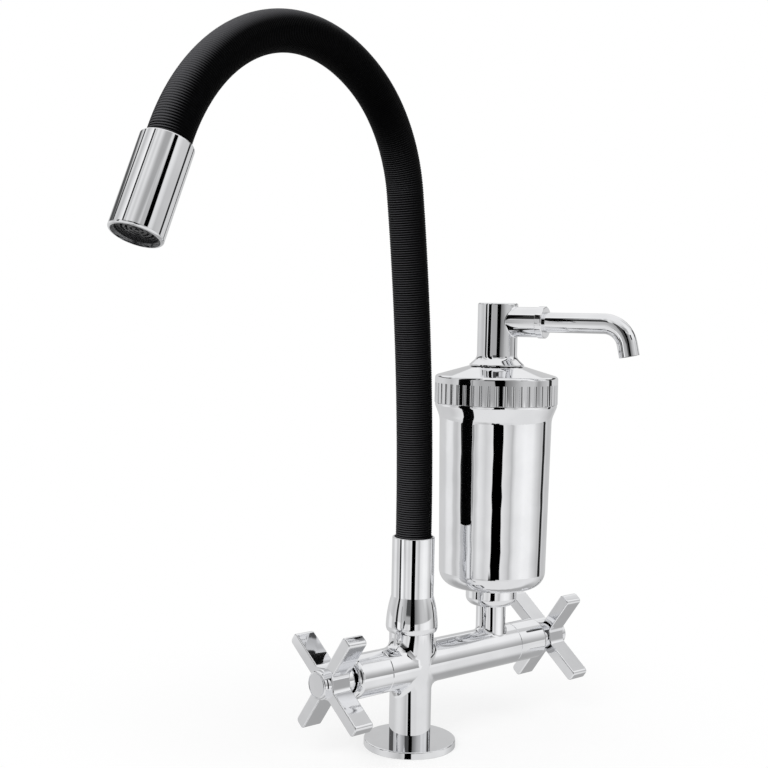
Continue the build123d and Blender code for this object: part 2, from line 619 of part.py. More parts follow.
def make_swivel_nipple():
    """Nipple that turns in the neck, with two seal grooves, a clip groove, a flange and a hose stem."""
    flange_bottom = BELL_FOOT + BELL_WEB_THICKNESS
    flange_top = flange_bottom + NIPPLE_FLANGE_THICKNESS
    nipple = turned(
        [
            (NIPPLE_BORE_RADIUS, NIPPLE_FOOT),
            (NIPPLE_RADIUS, NIPPLE_FOOT),
            (NIPPLE_RADIUS, flange_bottom),
            (NIPPLE_FLANGE_RADIUS, flange_bottom),
            (NIPPLE_FLANGE_RADIUS, flange_top),
            (NIPPLE_STEM_RADIUS, flange_top),
            (NIPPLE_STEM_RADIUS, NIPPLE_STEM_TOP),
            (NIPPLE_BORE_RADIUS, NIPPLE_STEM_TOP),
        ]
    )
    outside = NIPPLE_RADIUS + OVERRUN
    for height in nipple_seal_heights():
        nipple -= ring(NIPPLE_RADIUS - NIPPLE_SEAL_DEPTH, outside, height, height + NIPPLE_SEAL_THICKNESS)
    groove_top = CLIP_HEIGHT + CLIP_THICKNESS + THREAD_GAP
    return nipple - ring(NIPPLE_RADIUS - CLIP_DEPTH, outside, CLIP_HEIGHT - THREAD_GAP, groove_top)


def make_swivel_seals():
    inner = NIPPLE_RADIUS - NIPPLE_SEAL_DEPTH + FIT_GAP / 2
    outer = NIPPLE_RADIUS + FIT_GAP
    return Compound(
        children=[
            ring(inner, outer, height + FIT_GAP, height + NIPPLE_SEAL_THICKNESS - FIT_GAP)
            for height in nipple_seal_heights()
        ]
    )


def make_swivel_clip():
    """Open spring clip that keeps the nipple in the neck."""
    inner = NIPPLE_RADIUS - CLIP_DEPTH + RUNNING_GAP
    outer = NIPPLE_RADIUS + RUNNING_GAP + CLIP_DEPTH - FIT_GAP
    clip = ring(inner, outer, CLIP_HEIGHT, CLIP_HEIGHT + CLIP_THICKNESS)
    return clip - Pos(0, outer, 0) * block(CLIP_OPENING, outer, CLIP_HEIGHT - OVERRUN, CLIP_HEIGHT + OVERRUN)


def make_spout_ferrule():
    """Bell that turns on the neck and narrows to the sleeve that grips the hose."""
    hole = NIPPLE_RADIUS + FIT_GAP
    grip = HOSE_RADIUS + FIT_GAP
    return turned(
        [
            (hole, BELL_FOOT),
            (BELL_RADIUS, BELL_FOOT, BELL_FOOT_ROUND),
            (BELL_RADIUS, BELL_BELT_TOP, BELL_BELT_ROUND),
            (FERRULE_RADIUS, BELL_SHOULDER_TOP, BELL_SHOULDER_ROUND),
            (FERRULE_RADIUS, FERRULE_TOP, FERRULE_LIP_ROUND),
            (FERRULE_MOUTH_RADIUS, FERRULE_TOP),
            (FERRULE_MOUTH_RADIUS, FERRULE_TOP - FERRULE_MOUTH_DEPTH),
            (grip, FERRULE_TOP - FERRULE_MOUTH_DEPTH),
            (grip, FERRULE_GRIP_BOTTOM),
            (BELL_BORE_RADIUS, BELL_BORE_TOP),
            (BELL_BORE_RADIUS, BELL_FOOT + BELL_WEB_THICKNESS),
            (hole, BELL_FOOT + BELL_WEB_THICKNESS),
        ]
    )


# Path of the hose: a straight foot, a long lean, a tight shoulder, the crown and a short straight end.
# Distances along it start where the inner tube starts, at TUBE_FOOT.

HOSE_RUNS = (
    (HOSE_STRAIGHT, 0),
    (LEAN_RADIUS * radians(LEAN_TURN), LEAN_RADIUS),
    (SHOULDER_RADIUS * radians(SHOULDER_TURN), SHOULDER_RADIUS),
    (CROWN_RADIUS * radians(CROWN_TURN), CROWN_RADIUS),
    (HOSE_END_STRAIGHT, 0),
)
HOSE_LENGTH = sum(length for length, radius in HOSE_RUNS)
HOSE_START = HOSE_FOOT - TUBE_FOOT
HOSE_ENTRY = HOSE_LENGTH - HOSE_INSERTION
ARCH_OUTWARD = Vector(cos(radians(HOSE_REST_BEARING)), sin(radians(HOSE_REST_BEARING)), 0)
ARCH_NORMAL = Vector(0, 0, 1).cross(ARCH_OUTWARD)


def hose_point(distance):
    """Point on the centreline of the hose and the direction in which the hose leaves it."""
    reach, height, heading = 0, TUBE_FOOT, pi / 2
    for length, radius in HOSE_RUNS:
        step = min(distance, length)
        if radius:
            turned_heading = heading - step / radius
            reach += radius * (sin(heading) - sin(turned_heading))
            height += radius * (cos(turned_heading) - cos(heading))
            heading = turned_heading
        else:
            reach += step * cos(heading)
            height += step * sin(heading)
        distance -= step
    point = ARCH_OUTWARD * reach + Vector(0, 0, height)
    return point, ARCH_OUTWARD * cos(heading) + Vector(0, 0, sin(heading))


def hose_plane(distance):
    """Plane across the hose, with its X axis steady along the normal of the arch."""
    point, direction = hose_point(distance)
    return Plane(origin=point, x_dir=ARCH_NORMAL, z_dir=direction)


def hose_path(start, end):
    """Centreline between two distances, as straight runs joined by tangent arcs."""
    edges = []
    run_start = 0
    for length, radius in HOSE_RUNS:
        a, b = max(start, run_start), min(end, run_start + length)
        run_start += length
        if b - a > FIT_GAP:
            first, middle, last = (hose_point(d)[0] for d in (a, (a + b) / 2, b))
            edges.append(ThreePointArc(first, middle, last) if radius else Line(first, last))
    return Wire(edges)


def hose_rod(radius, start, end):
    """Solid of one radius along the centreline."""
    return sweep(hose_plane(start) * Circle(radius), path=hose_path(start, end))


# Shares of one rib's pitch at which its foot, crest, crest and foot lie
RIB_SHARES = ((0.0, 0), (0.3, 1), (0.62, 1), (0.92, 0))


def make_hose_jacket(start, end):
    """Ribbed rubber skin: each rib is a ruled loft through four circles, and the bore follows the arcs."""
    count = round((end - start) / HOSE_RIB_PITCH)
    pitch = (end - start) / count
    rings = []
    for rib in range(count):
        for share, crest in RIB_SHARES:
            radius = HOSE_RADIUS - HOSE_RIB_DEPTH * (1 - crest)
            rings.append(hose_plane(start + pitch * (rib + share)) * Circle(radius))
    rings.append(hose_plane(end) * Circle(HOSE_RADIUS - HOSE_RIB_DEPTH))
    return loft(rings, ruled=True) - hose_rod(HOSE_BORE_RADIUS, start, end)


def make_hose_pipe(outer, inner, start, end):
    """Plain pipe inside the jacket."""
    return hose_rod(outer, start, end) - hose_rod(inner, start, end)


def make_lower_crimp():
    return ring(TUBE_OUTER_RADIUS + FIT_GAP, CRIMP_OUTER_RADIUS, CRIMP_FOOT, CRIMP_FOOT + CRIMP_LENGTH)


# Aerator at the end of the hose

def at_aerator():
    """Place on the aerator's axis: local Z runs out of the hose from the rim of the sleeve."""
    return hose_plane(HOSE_ENTRY).location


def make_aerator_sleeve():
    grip = HOSE_RADIUS + FIT_GAP
    return at_aerator() * turned(
        [
            (AERATOR_MOUTH_RADIUS, 0),
            (AERATOR_RADIUS, 0, AERATOR_TOP_ROUND),
            (AERATOR_RADIUS, AERATOR_LENGTH, AERATOR_RIM_ROUND),
            (AERATOR_THREAD_RADIUS, AERATOR_LENGTH),
            (AERATOR_THREAD_RADIUS, END_FITTING_SHOULDER),
            (grip, END_FITTING_SHOULDER),
            (grip, AERATOR_MOUTH_DEPTH),
            (AERATOR_MOUTH_RADIUS, AERATOR_MOUTH_DEPTH),
        ]
    )


def make_hose_end_fitting():
    """Threaded plug with the stem that the inner tube is crimped on."""
    plug_end = END_FITTING_SHOULDER + END_FITTING_LENGTH
    plug = rod(AERATOR_THREAD_RADIUS - FIT_GAP, END_FITTING_SHOULDER, plug_end)
    plug += rod(NIPPLE_STEM_RADIUS, END_STEM_BACK, END_FITTING_SHOULDER)
    return at_aerator() * (plug - rod(NIPPLE_BORE_RADIUS, END_STEM_BACK - OVERRUN, CAGE_BACK))


def make_upper_crimp():
    return at_aerator() * ring(
        TUBE_OUTER_RADIUS + FIT_GAP, CRIMP_OUTER_RADIUS, END_CRIMP_BACK, END_CRIMP_BACK + END_CRIMP_LENGTH
    )


def make_aerator_washer():
    bottom = END_FITTING_SHOULDER + END_FITTING_LENGTH
    return at_aerator() * ring(
        CORE_INNER_RADIUS, AERATOR_THREAD_RADIUS - FIT_GAP, bottom + FIT_GAP, bottom + WASHER_THICKNESS
    )


def make_aerator_cage():
    """Cup that screws into the sleeve and holds the screens, open at both ends."""
    ledge = CAGE_FRONT - GRILLE_RECESS - GRILLE_THICKNESS - MESH_THICKNESS
    return at_aerator() * turned(
        [
            (CORE_OUTER_RADIUS, CAGE_BACK),
            (AERATOR_THREAD_RADIUS - FIT_GAP, CAGE_BACK),
            (AERATOR_THREAD_RADIUS - FIT_GAP, CAGE_FRONT),
            (CAGE_RING_RADIUS + CAGE_RING_WIDTH, CAGE_FRONT),
            (CAGE_RING_RADIUS + CAGE_RING_WIDTH, ledge),
            (CORE_OUTER_RADIUS, ledge),
        ]
    )


def slotted_disc(bottom, thickness, turn):
    """Disc with rings of curved slots between spokes round a small hub."""
    disc = rod(CAGE_RING_RADIUS + CAGE_RING_WIDTH - FIT_GAP, bottom, bottom + thickness)
    for row in range(GRILLE_ROWS):
        inner = GRILLE_SLOT_INNER + row * GRILLE_ROW_PITCH
        outer = inner + GRILLE_SLOT_WIDTH
        spoke = GRILLE_SPOKE_WIDTH / ((inner + outer) / 2) * HALF_TURN / pi
        slot = extrude(disc_port(inner, outer, FULL_TURN / GRILLE_SPOKES - spoke), thickness)
        for number in range(GRILLE_SPOKES):
            disc -= Rot(0, 0, turn + number * FULL_TURN / GRILLE_SPOKES) * Pos(0, 0, bottom) * slot
    return disc


def make_aerator_grille():
    """Outlet grille with a raised rim ring and a small centre dot."""
    bottom = CAGE_FRONT - GRILLE_RECESS - GRILLE_THICKNESS
    grille = slotted_disc(bottom, GRILLE_THICKNESS, 0)
    top = bottom + GRILLE_THICKNESS
    rim = CAGE_RING_RADIUS
    grille += ring(rim - CAGE_RING_WIDTH, rim, top, top + CAGE_RING_WIDTH)
    grille += rod(GRILLE_HUB_RADIUS, top, top + CAGE_RING_WIDTH)
    return at_aerator() * grille


def make_aerator_screen():
    bottom = CAGE_FRONT - GRILLE_RECESS - GRILLE_THICKNESS - MESH_THICKNESS
    return at_aerator() * slotted_disc(bottom, MESH_THICKNESS, HALF_TURN / GRILLE_SPOKES)


# Filter housing

def make_adapter_washer():
    top = RISER_TOP + ADAPTER_WASHER_THICKNESS
    return at_filter() * ring(RISER_BORE_RADIUS, RISER_RADIUS - FIT_GAP, RISER_TOP, top)


def make_filter_adapter():
    """Cup that screws onto the riser and takes the canister's spigot."""
    web_bottom = RISER_TOP + ADAPTER_WASHER_THICKNESS
    web_top = web_bottom + ADAPTER_WEB_THICKNESS
    lower, upper = RISER_RADIUS + FIT_GAP, CANISTER_SPIGOT_RADIUS + FIT_GAP
    return at_filter() * turned(
        [
            (lower, ADAPTER_BOTTOM),
            (ADAPTER_RADIUS, ADAPTER_BOTTOM, ADAPTER_ROUND),
            (ADAPTER_RADIUS, ADAPTER_TOP, EDGE_BREAK),
            (upper, ADAPTER_TOP),
            (upper, web_top),
            (RISER_BORE_RADIUS, web_top),
            (RISER_BORE_RADIUS, web_bottom),
            (lower, web_bottom),
        ]
    )


def make_filter_canister():
    """Deep-drawn cup: rounded bottom, slight taper, flared shoulder and a threaded rim."""
    return at_filter() * turned(
        [
            (CANISTER_PORT_RADIUS, CANISTER_SPIGOT_BOTTOM),
            (CANISTER_SPIGOT_RADIUS, CANISTER_SPIGOT_BOTTOM),
            (CANISTER_SPIGOT_RADIUS, CANISTER_BOTTOM),
            (CANISTER_BOTTOM_RADIUS, CANISTER_BOTTOM, CANISTER_BOTTOM_ROUND),
            (CANISTER_TOP_RADIUS, CANISTER_TAPER_TOP, CANISTER_NECK_ROUND),
            (CANISTER_FLARE_RADIUS, CANISTER_FLARE_START, CANISTER_FLARE_ROUND),
            (CANISTER_FLARE_RADIUS, CANISTER_FLARE_TOP),
            (CANISTER_THREAD_RADIUS, CANISTER_FLARE_TOP),
            (CANISTER_THREAD_RADIUS, CANISTER_RIM),
            (CANISTER_TOP_RADIUS - CANISTER_WALL, CANISTER_RIM),
            (CANISTER_TOP_RADIUS - CANISTER_WALL, CANISTER_TAPER_TOP),
            (CANISTER_BOTTOM_RADIUS - CANISTER_WALL, CANISTER_BOTTOM + CANISTER_WALL, CANISTER_INNER_ROUND),
            (CANISTER_PORT_RADIUS, CANISTER_BOTTOM + CANISTER_WALL),
        ]
    )


def make_cap_gasket():
    outer, top = CANISTER_THREAD_RADIUS - FIT_GAP, CANISTER_RIM + CAP_GASKET_THICKNESS
    return at_filter() * ring(CAP_GASKET_INNER_RADIUS, outer, CANISTER_RIM, top)


def make_filter_cap():
    """Threaded cap in one piece: a skirt with closed-topped grip flutes under a shallow dome."""
    thread = CANISTER_THREAD_RADIUS + THREAD_GAP
    hole = OUTLET_STUB_RADIUS + THREAD_GAP
    cap = turned(
        [
            (thread, CAP_BOTTOM),
            (CAP_RADIUS, CAP_BOTTOM, EDGE_BREAK),
            (CAP_RADIUS, CAP_EDGE_HEIGHT, CAP_EDGE_ROUND),
            (DOME_TOP_RADIUS, DOME_TOP),
            (hole, DOME_TOP),
            (hole, CAP_BOSS_BOTTOM),
            (CAP_BOSS_RADIUS, CAP_BOSS_BOTTOM),
            (CAP_BOSS_RADIUS, CAP_UNDERSIDE_TOP),
            (CAP_LAND_RADIUS, CAP_UNDERSIDE_EDGE),
            (CAP_LAND_RADIUS, CAP_CEILING),
            (thread, CAP_CEILING),
        ]
    )
    centre = CAP_RADIUS + CAP_FLUTE_RADIUS - CAP_FLUTE_DEPTH
    flute = Pos(centre, 0, 0) * rod(CAP_FLUTE_RADIUS, CAP_BOTTOM - OVERRUN, CAP_FLUTE_TOP)
    cap -= [Rot(0, 0, number * FULL_TURN / CAP_FLUTE_COUNT) * flute for number in range(CAP_FLUTE_COUNT)]
    return at_filter() * cap


def make_outlet_column():
    """Turning column in the cap: stub and lip below, flared foot, closed top and a side sleeve."""
    column = at_filter() * turned(
        [
            (0, OUTLET_STUB_BOTTOM),
            (OUTLET_STUB_RADIUS, OUTLET_STUB_BOTTOM),
            (OUTLET_STUB_RADIUS, OUTLET_BASE),
            (OUTLET_LIP_RADIUS, OUTLET_BASE),
            (OUTLET_LIP_RADIUS, OUTLET_LIP_TOP, OUTLET_LIP_ROUND),
            (OUTLET_RADIUS, OUTLET_FLARE_TOP, OUTLET_FLARE_ROUND),
            (OUTLET_RADIUS, OUTLET_TOP, OUTLET_TOP_ROUND),
            (0, OUTLET_TOP),
        ]
    )
    column += at_filter_spout() * rod(SLEEVE_RADIUS, 0, SLEEVE_END)
    joins = [e for e in column.edges() if e.geom_type not in (GeomType.CIRCLE, GeomType.LINE)]
    column = fillet(joins, SLEEVE_BLEND)
    column -= at_filter() * rod(OUTLET_BORE_RADIUS, OUTLET_STUB_BOTTOM - OVERRUN, OUTLET_CEILING)
    column -= at_filter_spout() * rod(SPOUT_BORE_RADIUS, 0, SPOUT_BACK)
    column -= at_filter_spout() * rod(SLEEVE_BORE_RADIUS, SPOUT_BACK, SLEEVE_END + OVERRUN)
    groove = ring(
        OUTLET_STUB_RADIUS - OUTLET_SEAL_DEPTH,
        OUTLET_STUB_RADIUS + OVERRUN,
        OUTLET_SEAL_HEIGHT,
        OUTLET_SEAL_HEIGHT + OUTLET_SEAL_THICKNESS,
    )
    return column - at_filter() * groove


def make_outlet_seal():
    return at_filter() * ring(
        OUTLET_STUB_RADIUS - OUTLET_SEAL_DEPTH + FIT_GAP / 2,
        OUTLET_STUB_RADIUS + FIT_GAP,
        OUTLET_SEAL_HEIGHT + FIT_GAP,
        OUTLET_SEAL_HEIGHT + OUTLET_SEAL_THICKNESS - FIT_GAP,
    )


def make_lock_ring():
    """Ring nut on the stub that keeps the column in the cap."""
    top = CAP_BOSS_BOTTOM - SHOULDER_GAP
    return at_filter() * ring(OUTLET_STUB_RADIUS + FIT_GAP, LOCK_RING_RADIUS, top - LOCK_RING_THICKNESS, top)


def make_spout_nut():
    """Nut that presses the spout's seal into the sleeve and shows as a ring at its end."""
    nut = turned(
        [
            (SPOUT_RADIUS + FIT_GAP, NUT_SLEEVE_BACK),
            (SLEEVE_BORE_RADIUS - FIT_GAP, NUT_SLEEVE_BACK),
            (SLEEVE_BORE_RADIUS - FIT_GAP, SLEEVE_END),
            (NUT_RADIUS, SLEEVE_END, EDGE_BREAK),
            (NUT_RADIUS, NUT_END, NUT_EDGE_ROUND),
            (SPOUT_RADIUS + FIT_GAP, NUT_END),
        ]
    )
    return at_filter_spout() * nut


def make_spout_seal():
    start = SPOUT_BACK + SPOUT_COLLAR_LENGTH + FIT_GAP
    return at_filter_spout() * ring(
        SPOUT_RADIUS + FIT_GAP, SLEEVE_BORE_RADIUS - FIT_GAP, start, start + SPOUT_SEAL_LENGTH
    )


def make_filter_spout():
    """Bent spout tube with a collar at its inner end."""
    turn = radians(SPOUT_BEND_TURN)

    def on_bend(angle):
        return Vector(
            SPOUT_BEND_RADIUS * (1 - cos(angle)), 0, SPOUT_BEND_START + SPOUT_BEND_RADIUS * sin(angle)
        )

    tip = on_bend(turn) + Vector(sin(turn), 0, cos(turn)) * SPOUT_DROP
    path = Wire(
        [
            Line((0, 0, SPOUT_BACK), (0, 0, SPOUT_BEND_START)),
            ThreePointArc(on_bend(0), on_bend(turn / 2), on_bend(turn)),
            Line(on_bend(turn), tip),
        ]
    )
    start = Pos(0, 0, SPOUT_BACK)
    tube = sweep(start * Circle(SPOUT_RADIUS), path=path)
    tube += rod(SPOUT_COLLAR_RADIUS, SPOUT_BACK + FIT_GAP, SPOUT_BACK + SPOUT_COLLAR_LENGTH)
    return at_filter_spout() * (tube - sweep(start * Circle(SPOUT_BORE_RADIUS), path=path))


# Replaceable cartridge

def make_cartridge_base():
    """Closed lower end with three feet that stand in the canister."""
    base = rod(CARTRIDGE_RADIUS, CARTRIDGE_BASE, CARTRIDGE_BASE + CARTRIDGE_CAP_THICKNESS)
    foot = Pos(CARTRIDGE_FOOT_CIRCLE, 0, 0) * rod(CARTRIDGE_FOOT_RADIUS, CARTRIDGE_FEET, CARTRIDGE_BASE)
    for number in range(CARTRIDGE_FOOT_COUNT):
        base += Rot(0, 0, number * FULL_TURN / CARTRIDGE_FOOT_COUNT) * foot
    return at_filter() * base


def make_cartridge_sleeve():
    """Slotted tube round the carbon block."""
    bottom, top = CARTRIDGE_BASE + CARTRIDGE_CAP_THICKNESS, CARTRIDGE_TOP
    sleeve = ring(CARTRIDGE_RADIUS - CARTRIDGE_SLEEVE_WALL, CARTRIDGE_RADIUS, bottom, top)
    width, margin = CARTRIDGE_SLOT_WIDTH, CARTRIDGE_SLOT_MARGIN
    slot = Pos(CARTRIDGE_RADIUS, 0, 0) * block(width, width, bottom + margin, top - margin)
    sleeve -= [Rot(0, 0, n * FULL_TURN / CARTRIDGE_SLOT_COUNT) * slot for n in range(CARTRIDGE_SLOT_COUNT)]
    return at_filter() * sleeve


def make_carbon_block():
    outer = CARTRIDGE_RADIUS - CARTRIDGE_SLEEVE_WALL - FIT_GAP
    bottom = CARTRIDGE_BASE + CARTRIDGE_CAP_THICKNESS
    return at_filter() * ring(CARBON_BORE_RADIUS, outer, bottom, CARTRIDGE_TOP)


def make_cartridge_lid():
    """Upper end with the outlet spigot that plugs into the column."""
    lid = rod(CARTRIDGE_RADIUS, CARTRIDGE_TOP, CARTRIDGE_TOP + CARTRIDGE_CAP_THICKNESS)
    lid += rod(CARTRIDGE_SPIGOT_RADIUS, CARTRIDGE_TOP, CARTRIDGE_SPIGOT_TOP)
    lid -= rod(CARTRIDGE_SPIGOT_BORE_RADIUS, CARTRIDGE_TOP - OVERRUN, CARTRIDGE_SPIGOT_TOP + OVERRUN)
    return at_filter() * lid


def make_cartridge_seal():
    return at_filter() * ring(
        CARTRIDGE_SPIGOT_RADIUS + FIT_GAP / 2,
        OUTLET_BORE_RADIUS - RUNNING_GAP,
        CARTRIDGE_SEAL_HEIGHT,
        CARTRIDGE_SEAL_HEIGHT + CARTRIDGE_SEAL_THICKNESS,
    )


# All pieces by name

def make_pieces():
    pieces = {
        "base_flange": make_base_flange(),
        "base_gasket": make_base_gasket(),
        "tap_body": make_tap_body(),
    }
    fixed_pairs = {
        "seat_washers": make_seat_washer,
        "fixed_discs": make_fixed_disc,
        "spindle_seals": make_spindle_seal,
    }
    for name, make in fixed_pairs.items():
        pieces[name] = Compound(children=[make(side) for side in SIDES])
    valve_pieces = {
        "moving_disc": make_moving_disc,
        "valve_body": make_valve_body,
        "spindle": make_spindle,
        "bonnet": make_bonnet,
        "handle": make_handle,
        "handle_screw": make_handle_screw,
        "index_button": make_index_button,
    }
    for side in SIDES:
        for name, make in valve_pieces.items():
            pieces[f"{side}_{name}"] = make(side)
    half_flex = FLEX_LENGTH / 2
    tube_end = HOSE_ENTRY + END_TUBE_END
    jacket_spans = {
        "hose_leg": (HOSE_START, LOWER_FLEX_AT - half_flex),
        "hose_leg_flex": (LOWER_FLEX_AT - half_flex, LOWER_FLEX_AT + half_flex),
        "hose_arch": (LOWER_FLEX_AT + half_flex, UPPER_FLEX_AT - half_flex),
        "hose_arch_flex": (UPPER_FLEX_AT - half_flex, UPPER_FLEX_AT + half_flex),
        "hose_tip": (UPPER_FLEX_AT + half_flex, HOSE_LENGTH),
    }
    core_spans = {
        "gooseneck_core_leg": (HOSE_START, LOWER_FLEX_AT),
        "gooseneck_core_arch": (LOWER_FLEX_AT, UPPER_FLEX_AT),
        "gooseneck_core_tip": (UPPER_FLEX_AT, tube_end),
    }
    tube_spans = {
        "water_tube_leg": (0, LOWER_FLEX_AT),
        "water_tube_arch": (LOWER_FLEX_AT, UPPER_FLEX_AT),
        "water_tube_tip": (UPPER_FLEX_AT, tube_end),
    }
    pieces["spout_ferrule"] = make_spout_ferrule()
    pieces["swivel_nipple"] = make_swivel_nipple()
    pieces["swivel_seals"] = make_swivel_seals()
    pieces["swivel_clip"] = make_swivel_clip()
    pieces["lower_crimp"] = make_lower_crimp()
    for name, (start, end) in jacket_spans.items():
        pieces[name] = make_hose_jacket(start, end)
    for name, (start, end) in core_spans.items():
        pieces[name] = make_hose_pipe(CORE_OUTER_RADIUS, CORE_INNER_RADIUS, start, end)
    for name, (start, end) in tube_spans.items():
        pieces[name] = make_hose_pipe(TUBE_OUTER_RADIUS, NIPPLE_STEM_RADIUS + FIT_GAP, start, end)
    pieces["aerator_sleeve"] = make_aerator_sleeve()
    pieces["hose_end_fitting"] = make_hose_end_fitting()
    pieces["upper_crimp"] = make_upper_crimp()
    pieces["aerator_washer"] = make_aerator_washer()
    pieces["aerator_cage"] = make_aerator_cage()
    pieces["aerator_screen"] = make_aerator_screen()
    pieces["aerator_grille"] = make_aerator_grille()
    pieces["adapter_washer"] = make_adapter_washer()
    pieces["filter_adapter"] = make_filter_adapter()
    pieces["filter_canister"] = make_filter_canister()
    pieces["cap_gasket"] = make_cap_gasket()
    pieces["filter_cap"] = make_filter_cap()
    pieces["outlet_column"] = make_outlet_column()
    pieces["outlet_seal"] = make_outlet_seal()
    pieces["lock_ring"] = make_lock_ring()
    pieces["spout_nut"] = make_spout_nut()
    pieces["spout_seal"] = make_spout_seal()
    pieces["filter_spout"] = make_filter_spout()
    pieces["cartridge_base"] = make_cartridge_base()
    pieces["cartridge_sleeve"] = make_cartridge_sleeve()
    pieces["carbon_block"] = make_carbon_block()
    pieces["cartridge_lid"] = make_cartridge_lid()
    pieces["cartridge_seal"] = make_cartridge_seal()
    return pieces


def main():
    os.makedirs("parts", exist_ok=True)
    for name, piece in make_pieces().items():
        export_step(piece, f"parts/{name}.step")
    lower, upper = hose_point(LOWER_FLEX_AT)[0], hose_point(UPPER_FLEX_AT)[0]
    print("pivot of the lower bend", lower, "pivot of the upper bend", upper)
    print("axis of both bends", ARCH_NORMAL, "hose entry", hose_point(HOSE_ENTRY))


main()
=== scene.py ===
"""Looks of a drinking water filter tap.

Chrome body, cross handles, ribbed hose spout and filter housing.
"""

import json
import logging
import math
from collections.abc import Iterable, Sequence
from dataclasses import dataclass, field
from enum import Enum

import bmesh
import bpy
from mathutils import Matrix, Vector

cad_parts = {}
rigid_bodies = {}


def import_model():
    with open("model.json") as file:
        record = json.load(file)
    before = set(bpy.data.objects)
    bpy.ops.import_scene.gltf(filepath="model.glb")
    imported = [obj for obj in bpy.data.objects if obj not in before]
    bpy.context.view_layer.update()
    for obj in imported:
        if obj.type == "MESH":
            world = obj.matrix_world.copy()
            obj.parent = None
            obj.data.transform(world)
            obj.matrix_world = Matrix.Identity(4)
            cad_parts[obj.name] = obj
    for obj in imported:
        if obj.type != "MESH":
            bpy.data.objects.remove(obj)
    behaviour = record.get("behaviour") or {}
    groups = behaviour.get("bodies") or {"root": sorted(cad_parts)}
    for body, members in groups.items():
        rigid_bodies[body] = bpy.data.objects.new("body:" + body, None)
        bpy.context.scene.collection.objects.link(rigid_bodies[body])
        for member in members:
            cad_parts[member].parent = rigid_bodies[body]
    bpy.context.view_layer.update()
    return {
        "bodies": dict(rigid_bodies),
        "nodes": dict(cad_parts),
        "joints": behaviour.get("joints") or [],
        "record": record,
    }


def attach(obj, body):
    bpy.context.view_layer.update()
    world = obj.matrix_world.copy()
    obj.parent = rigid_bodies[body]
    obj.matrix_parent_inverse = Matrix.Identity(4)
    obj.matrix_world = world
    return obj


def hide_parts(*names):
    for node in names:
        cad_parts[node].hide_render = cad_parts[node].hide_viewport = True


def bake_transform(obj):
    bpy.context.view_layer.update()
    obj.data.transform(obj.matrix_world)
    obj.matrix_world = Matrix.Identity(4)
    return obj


LOG = logging.getLogger("tap")
MM = 0.001
WHITE = (1.0, 1.0, 1.0, 1.0)
TONE_SPREAD = (0.3, 0.7)
TONE_DETAIL = 3.0
RELIEF_DETAIL = 2.0
# Where the painted highlight begins and where it is full, as the cosine between the surface's
# normal and its side
PAINTED_SHEEN_SPREAD = (0.4, 1.0)
FLAT_WEIGHT = 50
FULL_TURN = 360


# Shader expressions

class Term:
    """A number in a shader: a socket that takes part in Python expressions."""

    def __init__(self, graph: "Graph", socket: bpy.types.NodeSocket) -> None:
        """Keep the graph and the socket.

        Args:
            graph: The node graph that the socket belongs to.
            socket: An output socket that carries a number.
        """
        self.graph = graph
        self.socket = socket

    def _math(self, operation: str, *values: "Term | float") -> "Term":
        """Add one Math node.

        Args:
            operation: The Math node's operation.
            values: Its inputs, in order.

        Returns:
            The node's result.
        """
        node = self.graph.node("ShaderNodeMath", {"operation": operation}, dict(enumerate(values)))
        return self.graph.term(node)

    def __add__(self, other: "Term | float") -> "Term":
        """Sum."""
        return self._math("ADD", self, other)

    def __radd__(self, other: float) -> "Term":
        """Sum with a number on the left."""
        return self._math("ADD", other, self)

    def __sub__(self, other: "Term | float") -> "Term":
        """Difference."""
        return self._math("SUBTRACT", self, other)

    def __rsub__(self, other: float) -> "Term":
        """Difference from a number."""
        return self._math("SUBTRACT", other, self)

    def __mul__(self, other: "Term | float") -> "Term":
        """Product."""
        return self._math("MULTIPLY", self, other)

    def __rmul__(self, other: float) -> "Term":
        """Product with a number on the left."""
        return self._math("MULTIPLY", other, self)

    def __truediv__(self, other: "Term | float") -> "Term":
        """Quotient."""
        return self._math("DIVIDE", self, other)

    def __rtruediv__(self, other: float) -> "Term":
        """Quotient of a number on the left."""
        return self._math("DIVIDE", other, self)

    def __abs__(self) -> "Term":
        """Absolute value."""
        return self._math("ABSOLUTE", self)

    def arctan(self, other: "Term") -> "Term":
        """Angle whose tangent is this over the other, in radians."""
        return self._math("ARCTAN2", self, other)

    def round_from(self, middle: float) -> "Term":
        """Angle in degrees measured from another, between -180 and 180.

        Args:
            middle: The angle that becomes 0.

        Returns:
            The angle.
        """
        return self._math("WRAP", self - middle, 180.0, -180.0)

    def arcsin(self) -> "Term":
        """Angle whose sine this is, in radians."""
        return self._math("ARCSINE", self)

    def towards(self, goal: "Term | float", share: "Term | float") -> "Term":
        """This value moved towards a goal.

        Args:
            goal: The value at a share of 1.
            share: How far, from 0 to 1.

        Returns:
            The mixed value.
        """
        return self + (goal - self) * share

    def _smooth(self, start: float, end: float, first: float, last: float) -> "Term":
        """Value that runs smoothly from one number to another.

        Args:
            start: Where the run begins.
            end: Where it ends.
            first: The value before it.
            last: The value after it.

        Returns:
            The value.
        """
        node = self.graph.node(
            "ShaderNodeMapRange",
            {"interpolation_type": "SMOOTHSTEP"},
            {"Value": self, "From Min": start, "From Max": end, "To Min": first, "To Max": last},
        )
        return self.graph.term(node, "Result")

    def inside(self, centre: float, half: float, soft: float) -> "Term":
        """Mask that is 1 within half of centre and fades to 0 over soft.

        Args:
            centre: The middle of the band.
            half: Half its width.
            soft: The width of the fade outside it.

        Returns:
            The mask, from 0 to 1.
        """
        return abs(self - centre)._smooth(half, half + soft, 1.0, 0.0)

    def above(self, low: float, high: float) -> "Term":
        """Mask that rises smoothly from 0 at low to 1 at high.

        Args:
            low: Where the rise begins.
            high: Where it ends.

        Returns:
            The mask, from 0 to 1.
        """
        return self._smooth(low, high, 0.0, 1.0)


